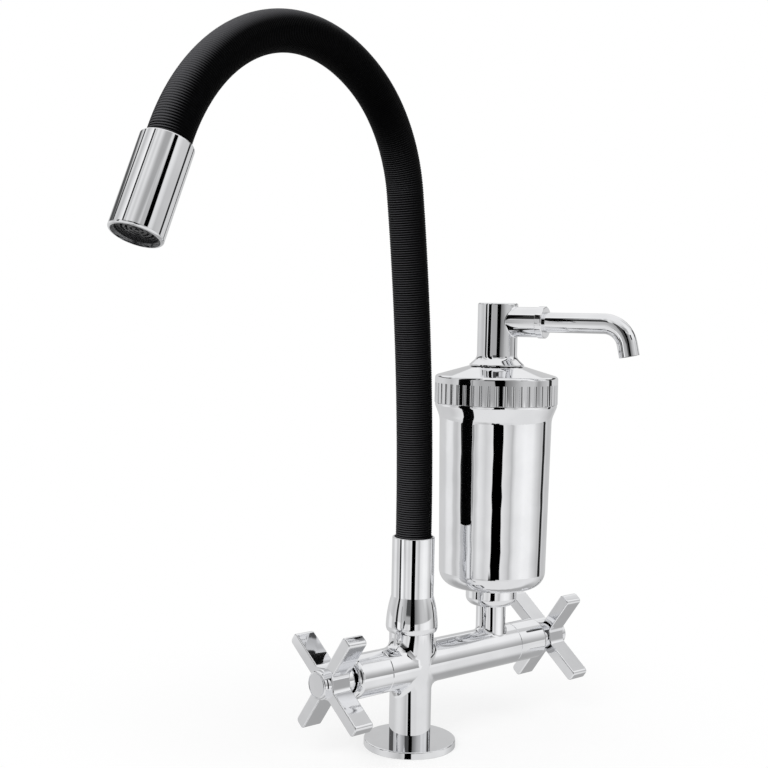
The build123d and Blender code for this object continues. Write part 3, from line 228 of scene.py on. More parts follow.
class Graph:
    """A node tree with one way of adding nodes."""

    def __init__(self, tree: bpy.types.NodeTree) -> None:
        """Empty the tree.

        Args:
            tree: The tree of a material or of the world.
        """
        self.tree = tree
        self.tree.nodes.clear()

    def node(
        self,
        kind: str,
        settings: dict[str, object] | None = None,
        inputs: dict[str | int, object] | None = None,
    ) -> bpy.types.Node:
        """Add one node.

        Args:
            kind: The node's type.
            settings: Its properties; a ramp's stops go under the key "stops".
            inputs: Values or links of its sockets, by name or number.

        Returns:
            The node.
        """
        node = self.tree.nodes.new(kind)
        for name, value in (settings or {}).items():
            if name == "stops":
                self._set_stops(node, value)
            else:
                setattr(node, name, value)
        for name, value in (inputs or {}).items():
            self._feed(node.inputs[name], value)
        return node

    def _set_stops(
        self, node: bpy.types.Node, stops: Sequence[tuple[float, tuple[float, ...]]]
    ) -> None:
        """Set a colour ramp's stops.

        Args:
            node: The colour ramp.
            stops: Position and colour of each stop.
        """
        elements = node.color_ramp.elements
        while len(elements) < len(stops):
            elements.new(1.0)
        for element, (position, colour) in zip(elements, stops):
            element.position = position
            element.color = colour

    def ramp(self, place: Term, stops: Sequence[tuple[float, float]]) -> Term:
        """Value read off a ramp of stops.

        Args:
            place: Where on the ramp, from 0 to 1.
            stops: Position and value of each stop, in order.

        Returns:
            The value.
        """
        colours = [(position, (value, value, value, 1.0)) for position, value in stops]
        node = self.node("ShaderNodeValToRGB", {"stops": colours}, {"Fac": place})
        return self.term(node)

    def _feed(self, socket: bpy.types.NodeSocket, value: object) -> None:
        """Link or set one input.

        Args:
            socket: The input.
            value: A term, an output socket or a constant.
        """
        if isinstance(value, Term):
            self.tree.links.new(value.socket, socket)
        elif isinstance(value, bpy.types.NodeSocket):
            self.tree.links.new(value, socket)
        else:
            socket.default_value = value

    def term(self, node: bpy.types.Node, output: str | int = 0) -> Term:
        """A node's output as a term."""
        return Term(self, node.outputs[output])

    def noise(self, scale: float, detail: float, stretch: tuple[float, float, float]) -> Term:
        """Noise over the object's own coordinates.

        Args:
            scale: Features per metre.
            detail: Octaves.
            stretch: Scale along each axis.

        Returns:
            The noise, about 0 to 1.
        """
        place = self.node("ShaderNodeTexCoord")
        mapping = self.node(
            "ShaderNodeMapping",
            inputs={"Vector": place.outputs["Object"], "Scale": stretch},
        )
        noise = self.node(
            "ShaderNodeTexNoise",
            inputs={"Vector": mapping.outputs[0], "Scale": scale, "Detail": detail},
        )
        return self.term(noise, "Fac")

    def turned_to(self, side: tuple[float, float, float]) -> Term:
        """How far the surface is turned to one side.

        Args:
            side: The side, in the row frame.

        Returns:
            The cosine of the angle between the surface's normal and the side.
        """
        surface = self.node("ShaderNodeNewGeometry")
        towards = Vector(side).normalized()
        node = self.node(
            "ShaderNodeVectorMath",
            {"operation": "DOT_PRODUCT"},
            {0: surface.outputs["Normal"], 1: towards},
        )
        return self.term(node, "Value")

    def blend(
        self,
        share: Term,
        dark: tuple[float, ...] | bpy.types.NodeSocket,
        light: tuple[float, ...],
    ) -> bpy.types.NodeSocket:
        """Colour between two colours.

        Args:
            share: 0 for dark, 1 for light.
            dark: The first colour.
            light: The second colour.

        Returns:
            The colour's socket.
        """
        node = self.node(
            "ShaderNodeMix",
            {"data_type": "RGBA"},
            {"Factor": share, "A": dark, "B": light},
        )
        return node.outputs["Result"]

    def mix_shader(
        self,
        share: Term | bpy.types.NodeSocket,
        first: bpy.types.Node,
        second: bpy.types.Node,
    ) -> bpy.types.Node:
        """Mix of two shaders.

        Args:
            share: 0 for the first, 1 for the second.
            first: The node of the first shader.
            second: The node of the second shader.

        Returns:
            The node of the mix.
        """
        return self.node(
            "ShaderNodeMixShader",
            inputs={0: share, 1: first.outputs[0], 2: second.outputs[0]},
        )

    def bump(self, height: Term, strength: float, distance: float) -> bpy.types.NodeSocket:
        """Normal disturbed by a height.

        Args:
            height: The height, about 0 to 1.
            strength: How much of it shows.
            distance: The height's size in metres.

        Returns:
            The normal's socket.
        """
        node = self.node(
            "ShaderNodeBump",
            inputs={"Height": height, "Strength": strength, "Distance": distance},
        )
        return node.outputs["Normal"]


# Finishes

class Slot(Enum):
    """Material slots of the record."""

    CHROME = "chrome"
    HOSE_RUBBER = "hose_rubber"
    SEAL_RUBBER = "seal_rubber"
    BRASS = "brass"
    CERAMIC = "ceramic"
    STEEL = "steel"
    TUBE_PLASTIC = "tube_plastic"
    GRILLE_PLASTIC = "grille_plastic"
    WHITE_PLASTIC = "white_plastic"
    CARBON = "carbon"


@dataclass(frozen=True)
class Finish:
    """A finish with a colour and a roughness that vary and a fine relief.

    Grains are features per metre, and relief is the height of the grain in metres.
    A painted highlight is a second colour laid on the faces that are turned to one given side,
    standing in for light that falls from there.
    """

    name: str
    slot: Slot
    dark: tuple[float, float, float]
    light: tuple[float, float, float]
    metallic: float = 0.0
    roughness: float = 0.5
    roughness_spread: float = 0.1
    grain: float = 300.0
    stretch: tuple[float, float, float] = (1.0, 1.0, 1.0)
    relief: float = 0.0
    relief_grain: float = 1500.0
    specular: float = 0.5
    painted_sheen: tuple[float, float, float] | None = None
    painted_sheen_side: tuple[float, float, float] = (0.0, 0.0, 1.0)

    def build(self) -> bpy.types.Material:
        """Make the material, once.

        Returns:
            The material.
        """
        made = bpy.data.materials.get(self.name)
        if made:
            return made
        material = bpy.data.materials.new(self.name)
        material.use_nodes = True
        graph = Graph(material.node_tree)
        tone = graph.noise(self.grain, TONE_DETAIL, self.stretch)
        colour = graph.blend(tone.above(*TONE_SPREAD), (*self.dark, 1.0), (*self.light, 1.0))
        # Painted highlight: a second colour on the faces turned towards one side, in place of light
        # falling from there
        if self.painted_sheen:
            painted_sheen_share = graph.turned_to(self.painted_sheen_side).above(*PAINTED_SHEEN_SPREAD)
            colour = graph.blend(painted_sheen_share, colour, (*self.painted_sheen, 1.0))
        inputs = {
            "Base Color": colour,
            "Metallic": self.metallic,
            "Roughness": self.roughness + self.roughness_spread * (tone - 0.5),
            "Specular IOR Level": self.specular,
        }
        if self.relief:
            fine = graph.noise(self.relief_grain, RELIEF_DETAIL, self.stretch)
            inputs["Normal"] = graph.bump(fine, 1.0, self.relief)
        shader = graph.node("ShaderNodeBsdfPrincipled", inputs=inputs)
        graph.node("ShaderNodeOutputMaterial", inputs={"Surface": shader.outputs[0]})
        return material


CHROME = Finish(
    "polished_chrome", Slot.CHROME, dark=(0.83, 0.835, 0.85), light=(0.88, 0.885, 0.9),
    metallic=1.0, roughness=0.03, roughness_spread=0.02, grain=60.0,
    relief=0.0000002, relief_grain=90.0,
)
HOSE_RUBBER = Finish(
    "ribbed_hose_rubber", Slot.HOSE_RUBBER,
    dark=(0.0004, 0.0004, 0.0005), light=(0.001, 0.001, 0.0012),
    roughness=0.4, roughness_spread=0.12, grain=500.0, specular=0.02,
    relief=0.000006, relief_grain=2600.0,
    # Painted sheen: a lighter grey on the faces turned up and to the left, a painted highlight of
    # light from above left
    painted_sheen=(0.062, 0.062, 0.066), painted_sheen_side=(-0.5, -0.05, 0.86),
)
SEAL_RUBBER = Finish(
    "seal_rubber", Slot.SEAL_RUBBER, dark=(0.012, 0.012, 0.012), light=(0.03, 0.03, 0.03),
    roughness=0.7, grain=900.0, relief=0.00002,
)
BRASS = Finish(
    "machined_brass", Slot.BRASS, dark=(0.7, 0.5, 0.2), light=(0.85, 0.66, 0.32),
    metallic=1.0, roughness=0.28, roughness_spread=0.12, grain=700.0,
    stretch=(1.0, 1.0, 6.0), relief=0.00001,
)
CERAMIC = Finish(
    "lapped_ceramic", Slot.CERAMIC, dark=(0.8, 0.8, 0.77), light=(0.92, 0.92, 0.89),
    roughness=0.22, grain=1200.0,
)
STEEL = Finish(
    "stainless_steel", Slot.STEEL, dark=(0.5, 0.51, 0.53), light=(0.68, 0.69, 0.71),
    metallic=1.0, roughness=0.3, roughness_spread=0.14, grain=900.0,
    stretch=(1.0, 1.0, 8.0), relief=0.000008,
)
TUBE_PLASTIC = Finish(
    "water_tube_plastic", Slot.TUBE_PLASTIC, dark=(0.78, 0.79, 0.78), light=(0.9, 0.9, 0.89),
    roughness=0.35, grain=200.0,
)
GRILLE_PLASTIC = Finish(
    "dark_grille_plastic", Slot.GRILLE_PLASTIC,
    dark=(0.012, 0.012, 0.013), light=(0.035, 0.035, 0.037),
    roughness=0.3, roughness_spread=0.2, grain=1800.0,
    relief=0.00002, relief_grain=3000.0,
)
WHITE_PLASTIC = Finish(
    "cartridge_plastic", Slot.WHITE_PLASTIC, dark=(0.8, 0.8, 0.78), light=(0.9, 0.9, 0.88),
    roughness=0.45, grain=400.0, relief=0.00001,
)
CARBON = Finish(
    "pressed_carbon", Slot.CARBON, dark=(0.01, 0.01, 0.01), light=(0.05, 0.05, 0.05),
    roughness=0.85, grain=1500.0, relief=0.0001, relief_grain=1800.0,
)
FINISH_OF_SLOT = {
    finish.slot.value: finish
    for finish in (
        CHROME, HOSE_RUBBER, SEAL_RUBBER, BRASS, CERAMIC,
        STEEL, TUBE_PLASTIC, GRILLE_PLASTIC, WHITE_PLASTIC, CARBON,
    )
}


# Meshes

def new_piece(
    name: str,
    mesh: bmesh.types.BMesh,
    finish: Finish,
    sharp_degrees: float,
) -> bpy.types.Object:
    """Turn a bmesh into a smooth-shaded piece.

    Args:
        name: The piece's name.
        mesh: Its faces; it is freed here.
        finish: Its finish.
        sharp_degrees: Edges that turn by more than this stay sharp.

    Returns:
        The piece, not yet on a body.
    """
    bmesh.ops.recalc_face_normals(mesh, faces=mesh.faces)
    limit = math.radians(sharp_degrees)
    for face in mesh.faces:
        face.smooth = True
    for edge in mesh.edges:
        edge.smooth = len(edge.link_faces) < 2 or edge.calc_face_angle(0.0) < limit
    data = bpy.data.meshes.new(name)
    mesh.to_mesh(data)
    mesh.free()
    piece = bpy.data.objects.new(name, data)
    bpy.context.scene.collection.objects.link(piece)
    data.materials.append(finish.build())
    LOG.info("%s: %d faces, %s", name, len(data.polygons), finish.name)
    return piece


def keep_flats_flat(piece: bpy.types.Object) -> None:
    """Let the large faces of a smooth-shaded piece set the shading at their corners.

    Args:
        piece: The piece.
    """
    level = piece.modifiers.new("level", "WEIGHTED_NORMAL")
    level.mode, level.weight, level.keep_sharp = "FACE_AREA", FLAT_WEIGHT, True


def new_ring(
    mesh: bmesh.types.BMesh,
    place: Matrix,
    radius: float,
    height: float,
    segments: int,
) -> list[bmesh.types.BMVert]:
    """Add one ring of points round the local Z axis.

    Args:
        mesh: The mesh that takes them.
        place: Local millimetres to the row frame in metres.
        radius: The ring's radius in millimetres.
        height: The ring's height in millimetres.
        segments: How many points.

    Returns:
        The points.
    """
    angles = (math.tau * k / segments for k in range(segments))
    return [
        mesh.verts.new(place @ Vector((radius * math.cos(a), radius * math.sin(a), height)))
        for a in angles
    ]


def skin_rings(
    mesh: bmesh.types.BMesh,
    rings: Sequence[Sequence[bmesh.types.BMVert]],
    closed: bool,
) -> None:
    """Join each ring of points to the next with quads.

    Args:
        mesh: The mesh that the rings are in.
        rings: Rings of equal length.
        closed: Whether the last ring joins the first.
    """
    pairs = list(zip(rings, rings[1:]))
    if closed:
        pairs.append((rings[-1], rings[0]))
    for low, high in pairs:
        count = len(low)
        for i in range(count):
            j = (i + 1) % count
            mesh.faces.new((low[i], low[j], high[j], high[i]))


@dataclass
class Outline:
    """Corners of a turned section, in millimetres, some of them rounded.

    Each corner is (radius, height) or (radius, height, round). Steps is for a quarter turn.
    """

    corners: Sequence[tuple[float, ...]]
    steps: int = 8
    fewest_steps: int = 3

    def points(self) -> list[tuple[float, float]]:
        """Corners with the rounds worked out as arcs.

        Returns:
            The points of the section, in order.
        """
        found: list[tuple[float, float]] = []
        count = len(self.corners)
        for index, corner in enumerate(self.corners):
            here = Vector(corner[:2])
            if len(corner) < 3:
                found.append((here.x, here.y))
                continue
            before = Vector(self.corners[index - 1][:2])
            after = Vector(self.corners[(index + 1) % count][:2])
            found.extend(self._arc(before, here, after, corner[2]))
        return found

    def _arc(
        self, before: Vector, here: Vector, after: Vector, radius: float
    ) -> list[tuple[float, float]]:
        """Points of the arc that rounds one corner.

        Args:
            before: The corner before it.
            here: The corner.
            after: The corner after it.
            radius: The round's radius.

        Returns:
            The arc's points.
        """
        to_before, to_after = (before - here).normalized(), (after - here).normalized()
        half = to_before.angle(to_after) / 2
        centre = here + (to_before + to_after).normalized() * (radius / math.sin(half))
        start = here + to_before * (radius / math.tan(half)) - centre
        end = here + to_after * (radius / math.tan(half)) - centre
        sweep = start.angle_signed(end)
        steps = max(self.fewest_steps, round(self.steps * abs(sweep) / (math.pi / 2)))
        turned = [
            Matrix.Rotation(-sweep * k / steps, 2) @ start + centre for k in range(steps + 1)
        ]
        return [(p.x, p.y) for p in turned]


@dataclass
class Turning:
    """A turned piece: a closed outline carried round the local Z axis."""

    name: str
    outline: Outline
    finish: Finish = CHROME
    segments: int = 160
    sharp_degrees: float = 12.0

    def build(self, place: Matrix, body: str) -> bpy.types.Object:
        """Make the piece.

        Args:
            place: Local millimetres to the row frame in metres.
            body: The body it rides on.

        Returns:
            The piece.
        """
        mesh = bmesh.new()
        rings = [
            new_ring(mesh, place, radius, height, self.segments)
            for radius, height in self.outline.points()
        ]
        skin_rings(mesh, rings, closed=True)
        piece = new_piece(self.name, mesh, self.finish, self.sharp_degrees)
        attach(piece, body)
        keep_flats_flat(piece)
        return piece


def millimetres(place: Matrix) -> Matrix:
    """A place in millimetres as a matrix that gives metres.

    Args:
        place: Rotation and offset, with the offset in millimetres.

    Returns:
        The matrix from local millimetres to metres.
    """
    return Matrix.Scale(MM, 4) @ place


# Dressing of the solids that are already right

@dataclass
class CadDress:
    """Gives each solid of the frame its finish and smooth shading between its sharp edges."""

    frame: dict[str, object]
    sharp_degrees: float = 24.0
    merge_distance: float = 2e-6

    def dress(self, kept: Iterable[str]) -> None:
        """Dress the named solids.

        Args:
            kept: Names of the solids that stay in view.
        """
        record = self.frame["record"]
        slots = {row["node"]: row["material_slot"] for row in record["subparts"]}
        for name in sorted(kept):
            solid = self.frame["nodes"][name]
            solid.data.materials.clear()
            solid.data.materials.append(FINISH_OF_SLOT[slots[name]].build())
            faces = solid.data.polygons
            faces.foreach_set("use_smooth", [True] * len(faces))
            weld = solid.modifiers.new("weld", "WELD")
            weld.merge_threshold = self.merge_distance
            split = solid.modifiers.new("split", "EDGE_SPLIT")
            split.split_angle = math.radians(self.sharp_degrees)
            keep_flats_flat(solid)
            LOG.info("%s: dressed in %s", name, slots[name])


# Hose

@dataclass
class HosePath:
    """Centreline of the hose, in millimetres and degrees.

    It has a straight foot, a long lean, a tight shoulder, the crown and a short straight end.
    """

    foot: float = 79.8
    straight: float = 50.3
    lean_radius: float = 1203.0
    lean_turn: float = 9.5
    shoulder_radius: float = 82.7
    shoulder_turn: float = 48.9
    crown_radius: float = 106.7
    crown_turn: float = 97.3
    end_straight: float = 16.6
    bearing: float = 194.7

    def runs(self) -> list[tuple[float, float]]:
        """Length and radius of each run; radius 0 is straight.

        Returns:
            The runs, in order.
        """
        return [
            (self.straight, 0.0),
            (self.lean_radius * math.radians(self.lean_turn), self.lean_radius),
            (self.shoulder_radius * math.radians(self.shoulder_turn), self.shoulder_radius),
            (self.crown_radius * math.radians(self.crown_turn), self.crown_radius),
            (self.end_straight, 0.0),
        ]

    def length(self) -> float:
        """Length of the whole path."""
        return sum(length for length, _ in self.runs())

    def point(self, distance: float) -> tuple[Vector, Vector]:
        """Point on the path and the direction there.

        Args:
            distance: Distance from the foot, in millimetres.

        Returns:
            The point in millimetres and the unit direction.
        """
        reach, height, heading = 0.0, self.foot, math.pi / 2
        for length, radius in self.runs():
            step = min(distance, length)
            if radius:
                after = heading - step / radius
                reach += radius * (math.sin(heading) - math.sin(after))
                height += radius * (math.cos(after) - math.cos(heading))
                heading = after
            else:
                reach += step * math.cos(heading)
                height += step * math.sin(heading)
            distance -= step
        outward = self.outward()
        up = Vector((0, 0, 1))
        origin = outward * reach + up * height
        return origin, outward * math.cos(heading) + up * math.sin(heading)

    def outward(self) -> Vector:
        """Horizontal direction in which the hose arches."""
        angle = math.radians(self.bearing)
        return Vector((math.cos(angle), math.sin(angle), 0))

    def place(self, distance: float) -> Matrix:
        """Local Z along the hose and local X along the normal of the arch.

        Args:
            distance: Distance from the foot, in millimetres.

        Returns:
            The place, in millimetres.
        """
        origin, direction = self.point(distance)
        side = Vector((0, 0, 1)).cross(self.outward())
        across = direction.cross(side)
        turn = Matrix((side, across, direction)).transposed().to_4x4()
        return Matrix.Translation(origin) @ turn


@dataclass
class HoseSpout:
    """Ribbed rubber jacket in five lengths, with the two bends between them."""

    path: HosePath = field(default_factory=HosePath)
    radius: float = 10.75
    rib_depth: float = 0.32
    rib_pitch: float = 1.35
    start: float = 19.0
    lower_flex: float = 157.2
    upper_flex: float = 347.2
    flex_length: float = 40.0
    segments: int = 56
    rows_per_rib: int = 5
    rib_fullness: float = 0.6
    sharp_degrees: float = 80.0

    def spans(self) -> list[tuple[str, float, float, tuple[str, ...]]]:
        """The five lengths of jacket.

        Returns:
            Name, start, end and the body or the two bodies of each.
        """
        half = self.flex_length / 2
        low, high = self.lower_flex, self.upper_flex
        return [
            ("hose_leg", self.start, low - half, ("hose_foot",)),
            ("hose_leg_flex", low - half, low + half, ("hose_foot", "hose_middle")),
            ("hose_arch", low + half, high - half, ("hose_middle",)),
            ("hose_arch_flex", high - half, high + half, ("hose_middle", "hose_end")),
            ("hose_tip", high + half, self.path.length(), ("hose_end",)),
        ]

    def build(self) -> None:
        """Make the lengths of jacket; each length on one body rides on it, and the two flex lengths
        stay fixed where they are made.
        """
        for name, start, end, bodies in self.spans():
            piece = self._jacket(f"{name}_jacket", start, end)
            if len(bodies) == 1:
                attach(piece, bodies[0])
            else:
                edges = (self.path.point(distance)[0] * MM for distance in (start, end))
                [tuple(edge) for edge in edges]
                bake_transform(piece)
            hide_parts(name)

    def _jacket(self, name: str, start: float, end: float) -> bpy.types.Object:
        """One length of ribbed jacket.

        Args:
            name: The piece's name.
            start: Where it starts on the path, in millimetres.
            end: Where it ends.

        Returns:
            The piece, not yet on a body.
        """
        ribs = round((end - start) / self.rib_pitch)
        rows = ribs * self.rows_per_rib
        mesh = bmesh.new()
        rings = []
        for row in range(rows + 1):
            share = row / self.rows_per_rib % 1.0
            crest = math.sin(math.pi * share) ** self.rib_fullness if share else 0.0
            radius = self.radius - self.rib_depth * (1.0 - crest)
            place = millimetres(self.path.place(start + (end - start) * row / rows))
            rings.append(new_ring(mesh, place, radius, 0.0, self.segments))
        skin_rings(mesh, rings, closed=False)
        return new_piece(name, mesh, HOSE_RUBBER, self.sharp_degrees)


# Bell of the hose spout

@dataclass
class HoseBell:
    """Bell that turns on the neck, in millimetres.

    A sharp step parts its barrel from the sleeve that grips the hose.
    """

    foot: float = 69.7
    radius: float = 12.7
    height: float = 56.7
    lip_round: float = 0.5
    barrel_radius: float = 15.66
    barrel_height: float = 21.2
    barrel_fullness: float = 2.1
    barrel_steps: int = 22
    foot_rise: float = 0.45
    foot_inset: float = 1.2
    foot_share: float = 1 / 7
    foot_tuck: float = 0.7
    hole: float = 9.05
    web: float = 2.6
    bore: float = 11.45
    bore_top: float = 26.1
    bore_cone: float = 2.0
    grip: float = 10.8
    mouth: float = 11.6
    mouth_depth: float = 5.4

    def build(self) -> None:
        """Make the bell in place of the solid."""
        corners = [
            (self.hole, 0.0),
            (self.barrel_radius - self.foot_inset, 0.0),
            *self._barrel(),
            (self.radius, self.barrel_height),
            (self.radius, self.height, self.lip_round),
            (self.mouth, self.height),
            (self.mouth, self.height - self.mouth_depth),
            (self.grip, self.height - self.mouth_depth),
            (self.grip, self.bore_top + self.bore_cone),
            (self.bore, self.bore_top),
            (self.bore, self.web),
            (self.hole, self.web),
        ]
        place = millimetres(Matrix.Translation((0.0, 0.0, self.foot)))
        piece = Turning("spout_ferrule_bell", Outline(corners)).build(place, "hose_foot")
        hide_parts("spout_ferrule")

    def _barrel(self) -> list[tuple[float, float]]:
        """Points of the barrel's curve, from its foot to just below the step.

        Returns:
            Radius and height of each.
        """
        swell = self.barrel_radius - self.radius
        found = []
        for k in range(self.barrel_steps):
            share = k / self.barrel_steps
            height = self.foot_rise + (self.barrel_height - self.foot_rise) * share
            bulge = swell * (1.0 - share ** self.barrel_fullness)
            tuck = self.foot_tuck * (1.0 - min(1.0, share / self.foot_share)) ** 2
            found.append((self.radius + bulge - tuck, height))
        return found


# Studio

@dataclass(frozen=True)
class Patch:
    """A patch of one brightness in the studio that the chrome mirrors.

    Its bearing and widths are in degrees round the tap, low and high in degrees above the horizon.
    """

    bearing: float
    half_width: float
    side_fade: float
    low: float
    high: float
    end_fade: float
    level: float


@dataclass(frozen=True)
class Lamp:
    """A square soft lamp: where it stands and its side in metres, and its power in watts."""

    name: str
    place: tuple[float, float, float]
    size: float
    power: float


# Brightness of the studio against the bearing in degrees, with 0 towards the camera and plus to the
# right in the picture: below the level of the lens, at about that level, and above it
LOW_WALL = (
    (-180, 0.55), (-150, 0.66), (-100, 0.66), (-75, 0.8), (-60, 0.8), (-45, 0.72), (-30, 0.6),
    (-25, 0.55), (-15, 0.7), (8, 0.79), (30, 0.79), (40, 0.84), (95, 0.84), (115, 0.7),
    (130, 0.58), (150, 0.5), (180, 0.55),
)
MIDDLE_WALL = (
    (-180, 0.62), (-141, 0.68), (-130, 0.69), (-121, 0.87), (-112, 0.9), (-104, 0.86), (-98, 0.62),
    (-90, 0.58), (-84, 0.72), (-66, 1.0), (-59, 1.05), (-54, 0.9), (-45, 0.6), (-41, 0.72),
    (-37, 0.87), (-32, 0.83), (-23, 0.7), (-11, 0.86), (14, 0.84), (22, 0.73), (27, 0.66),
    (31, 0.54), (35, 0.72), (40, 0.88), (60, 1.02), (79, 0.97), (91, 0.75), (98, 0.66),
    (105, 0.54), (121, 0.68), (131, 0.58), (180, 0.62),
)
HIGH_WALL = (
    (-180, 0.6), (-125, 0.74), (-104, 0.62), (-96, 0.58), (-84, 0.7), (-60, 0.78), (-45, 0.55),
    (-34, 0.42), (-27, 0.44), (-8, 0.42), (12, 0.2), (31, 0.4), (36, 0.5), (50, 0.62), (70, 0.6),
    (80, 0.36), (90, 0.5), (121, 0.7), (180, 0.6),
)
# Patches laid over those walls, each over the ones before it
PATCHES = (
    # Dark gap towards the camera, below the lens and above it
    Patch(bearing=-4.7, half_width=8.0, side_fade=1.0,
          low=-21.0, high=-14.5, end_fade=1.0, level=0.0),
    Patch(bearing=1.5, half_width=9.6, side_fade=1.0,
          low=-15.0, high=36.0, end_fade=1.5, level=0.0),
    # Dark edge at the left, a faint seam before it, and a dark edge at the right
    Patch(bearing=-73.5, half_width=5.0, side_fade=1.0,
          low=-14.0, high=36.0, end_fade=1.5, level=0.02),
    Patch(bearing=-50.0, half_width=1.2, side_fade=1.2,
          low=-10.0, high=10.0, end_fade=1.5, level=0.33),
    Patch(bearing=115.5, half_width=4.2, side_fade=1.0,
          low=-14.0, high=30.0, end_fade=1.5, level=0.02),
    # Dark bands behind the tap, right and left
    Patch(bearing=130.0, half_width=24.0, side_fade=6.0,
          low=14.5, high=25.0, end_fade=1.5, level=0.06),
    Patch(bearing=-129.0, half_width=24.0, side_fade=6.0,
          low=14.5, high=25.0, end_fade=1.5, level=0.1),
    # Narrow dark flags high at the left
    Patch(bearing=-112.7, half_width=3.5, side_fade=1.0,
          low=26.5, high=34.0, end_fade=1.0, level=0.03),
    Patch(bearing=-57.0, half_width=4.0, side_fade=1.0,
          low=40.0, high=50.0, end_fade=1.0, level=0.03),
    # Light panel high at the right, with a long fade
    Patch(bearing=85.0, half_width=20.0, side_fade=10.0,
          low=33.0, high=50.0, end_fade=36.0, level=0.97),
    # Shade at the left of the gap
    Patch(bearing=-18.0, half_width=9.0, side_fade=3.0,
          low=5.0, high=38.0, end_fade=3.0, level=0.08),
    # Pale ground in front
    Patch(bearing=0.0, half_width=84.0, side_fade=30.0,
          low=-90.0, high=-28.0, end_fade=8.0, level=0.84),
    # Dark flags at the left, one high and one low
    Patch(bearing=-48.0, half_width=9.0, side_fade=2.5,
          low=24.0, high=38.0, end_fade=4.0, level=0.03),
    Patch(bearing=-60.0, half_width=22.0, side_fade=5.0,
          low=-65.0, high=-58.0, end_fade=2.0, level=0.08),
    # Wide grey shade high in front, and a dark flag at its right
    Patch(bearing=22.0, half_width=10.0, side_fade=28.0,
          low=38.0, high=47.0, end_fade=3.0, level=0.42),
    Patch(bearing=51.5, half_width=7.0, side_fade=1.0,
          low=21.5, high=32.0, end_fade=1.0, level=0.0),
    # Light panel high behind the tap
    Patch(bearing=180.0, half_width=46.0, side_fade=10.0,
          low=24.5, high=60.0, end_fade=2.5, level=0.92),
)


def share_of_turn(bearing: Term | float) -> Term | float:
    """A bearing of -180 to 180 degrees as a share of 0 to 1."""
    return bearing / FULL_TURN + 0.5


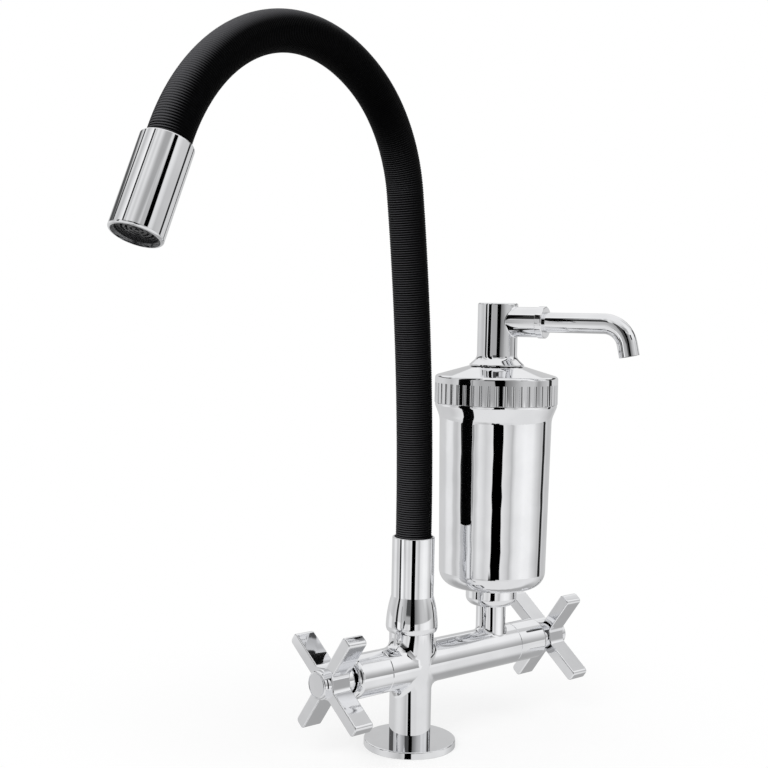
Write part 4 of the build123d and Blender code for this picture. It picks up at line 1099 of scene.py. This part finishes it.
@dataclass
class Studio:
    """White studio with dark flags, a pale floor, soft lamps and the camera.

    Lengths are in metres, the lens and its sensor in millimetres, and the heights at which the
    brightness of the studio changes are in degrees above the horizon.
    """

    camera_place: tuple[float, float, float] = (-0.501495, -0.555290, 0.258162)
    camera_forward: tuple[float, float, float] = (0.64975, 0.75818, -0.05467)
    camera_up: tuple[float, float, float] = (0.02091, 0.05406, 0.99832)
    lens: float = 59.125
    sensor: float = 36.0
    clip: tuple[float, float] = (0.01, 50.0)
    background_level: float = 1.0
    light_level: float = 0.75
    floor_half: float = 1.6
    floor_near: float = 0.04
    floor_far: float = 0.3
    floor_white: float = 0.86
    floor_glow: float = 0.7
    ceiling_level: float = 0.9
    ceiling_from: float = 52.0
    ceiling_full: float = 64.0
    ground_level: float = 0.42
    ground_from: float = -26.0
    ground_full: float = -46.0
    low_full: float = -15.5
    low_until: float = -14.0
    high_from: float = -4.9
    high_full: float = -3.9
    high_until: float = 30.0
    high_gone: float = 35.0
    patches: Sequence[Patch] = PATCHES
    lamp_target: tuple[float, float, float] = (0.0, 0.0, 0.2)
    lamps: Sequence[Lamp] = (
        Lamp(name="key", place=(-1.2, -0.5, 1.1), size=0.9, power=14.0),
        Lamp(name="fill", place=(0.9, -1.3, 0.9), size=1.1, power=9.0),
    )

    def build(self) -> None:
        """Set up the whole studio."""
        scene = bpy.context.scene
        scene.view_settings.view_transform = "Standard"
        self._camera(scene)
        self._world(scene)
        self._floor()
        for lamp in self.lamps:
            self._lamp(lamp)

    def _camera(self, scene: bpy.types.Scene) -> None:
        """Place the camera.

        Args:
            scene: The scene that takes it.
        """
        data = bpy.data.cameras.new("camera")
        data.lens, data.sensor_width = self.lens, self.sensor
        data.clip_start, data.clip_end = self.clip
        camera = bpy.data.objects.new("camera", data)
        scene.collection.objects.link(camera)
        back = -Vector(self.camera_forward).normalized()
        up = Vector(self.camera_up).normalized()
        side = up.cross(back).normalized()
        turn = Matrix((side, back.cross(side), back)).transposed().to_4x4()
        camera.matrix_world = Matrix.Translation(self.camera_place) @ turn
        scene.camera = camera

    def _world(self, scene: bpy.types.Scene) -> None:
        """White world that shows its walls and patches to mirrors only.

        Args:
            scene: The scene that takes it.
        """
        world = bpy.data.worlds.new("studio")
        scene.world = world
        world.use_nodes = True
        graph = Graph(world.node_tree)
        levels = (self.background_level, self._mirrored_level(graph), self.light_level)
        seen, mirrored, lighting = (
            graph.node("ShaderNodeBackground", inputs={"Color": WHITE, "Strength": level})
            for level in levels
        )
        ray = graph.node("ShaderNodeLightPath").outputs
        unseen = graph.mix_shader(ray["Is Glossy Ray"], lighting, mirrored)
        whole = graph.mix_shader(ray["Is Camera Ray"], unseen, seen)
        graph.node("ShaderNodeOutputWorld", inputs={"Surface": whole.outputs[0]})

    def _mirrored_level(self, graph: Graph) -> Term:
        """Brightness of the studio in each direction, as mirrors see it.

        Args:
            graph: The world's graph.

        Returns:
            The brightness.
        """
        place = graph.node("ShaderNodeTexCoord")
        split = graph.node("ShaderNodeSeparateXYZ", inputs={"Vector": place.outputs["Generated"]})
        x, y, z = (graph.term(split, k) for k in range(3))
        facing = -Vector(self.camera_forward[:2]).normalized()
        along = x * facing.x + y * facing.y
        across = y * facing.x - x * facing.y
        degrees = 180 / math.pi
        bearing = across.arctan(along) * degrees
        height = z.arcsin() * degrees
        low, level, high = (
            graph.ramp(share_of_turn(bearing), [(share_of_turn(at), value) for at, value in wall])
            for wall in (LOW_WALL, MIDDLE_WALL, HIGH_WALL)
        )
        below = 1.0 - height.above(self.low_full, self.low_until)
        over = height.above(self.high_from, self.high_full)
        over = over * (1.0 - height.above(self.high_until, self.high_gone))
        ceiling = height.above(self.ceiling_from, self.ceiling_full)
        ground = 1.0 - height.above(self.ground_full, self.ground_from)
        level = level.towards(low, below).towards(high, over)
        level = level.towards(self.ceiling_level, ceiling).towards(self.ground_level, ground)
        for patch in self.patches:
            middle, half = (patch.low + patch.high) / 2, (patch.high - patch.low) / 2
            aside = bearing.round_from(patch.bearing)
            mask = aside.inside(0.0, patch.half_width, patch.side_fade)
            mask = mask * height.inside(middle, half, patch.end_fade)
            level = level.towards(patch.level, mask)
        return level

    def _floor(self) -> None:
        """Pale floor that keeps a soft shadow and runs into the white background."""
        mesh = bmesh.new()
        half = self.floor_half
        corners = ((-half, -half, 0.0), (half, -half, 0.0), (half, half, 0.0), (-half, half, 0.0))
        mesh.faces.new([mesh.verts.new(corner) for corner in corners])
        data = bpy.data.meshes.new("floor")
        mesh.to_mesh(data)
        mesh.free()
        floor = bpy.data.objects.new("floor", data)
        bpy.context.scene.collection.objects.link(floor)
        material = bpy.data.materials.new("floor_white")
        material.use_nodes = True
        graph = Graph(material.node_tree)
        place = graph.node("ShaderNodeTexCoord")
        distance = graph.node(
            "ShaderNodeVectorMath", {"operation": "LENGTH"}, {0: place.outputs["Object"]}
        )
        away = graph.term(distance, "Value").above(self.floor_near, self.floor_far)
        pale = (self.floor_white, self.floor_white, self.floor_white, 1.0)
        matt = graph.node("ShaderNodeBsdfDiffuse", inputs={"Color": pale})
        white = graph.node(
            "ShaderNodeEmission", inputs={"Color": WHITE, "Strength": self.background_level}
        )
        through = graph.node("ShaderNodeBsdfTransparent", inputs={"Color": WHITE})
        ray = graph.node("ShaderNodeLightPath")
        seen = (self.floor_glow + (1.0 - self.floor_glow) * away) * graph.term(ray, "Is Camera Ray")
        lit = graph.mix_shader(seen, matt, white)
        both = graph.mix_shader(graph.term(ray, "Is Glossy Ray"), lit, through)
        graph.node("ShaderNodeOutputMaterial", inputs={"Surface": both.outputs[0]})
        data.materials.append(material)

    def _lamp(self, lamp: Lamp) -> None:
        """Add one square area lamp aimed at the tap.

        Args:
            lamp: The lamp.
        """
        data = bpy.data.lights.new(lamp.name, "AREA")
        data.shape = "SQUARE"
        data.size, data.energy = lamp.size, lamp.power
        added = bpy.data.objects.new(lamp.name, data)
        bpy.context.scene.collection.objects.link(added)
        added.location = lamp.place
        added.rotation_mode = "QUATERNION"
        towards = Vector(self.lamp_target) - Vector(lamp.place)
        added.rotation_quaternion = towards.to_track_quat("-Z", "Y")
        added.visible_glossy = False


def main() -> None:
    """Build the tap piece by piece, then the studio."""
    logging.basicConfig(level=logging.INFO, format="%(name)s: %(message)s")
    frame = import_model()
    HoseSpout().build()
    HoseBell().build()
    kept = [name for name, solid in frame["nodes"].items() if not solid.hide_render]
    CadDress(frame).dress(kept)
    Studio().build()


if __name__ == "__main__":
    main()
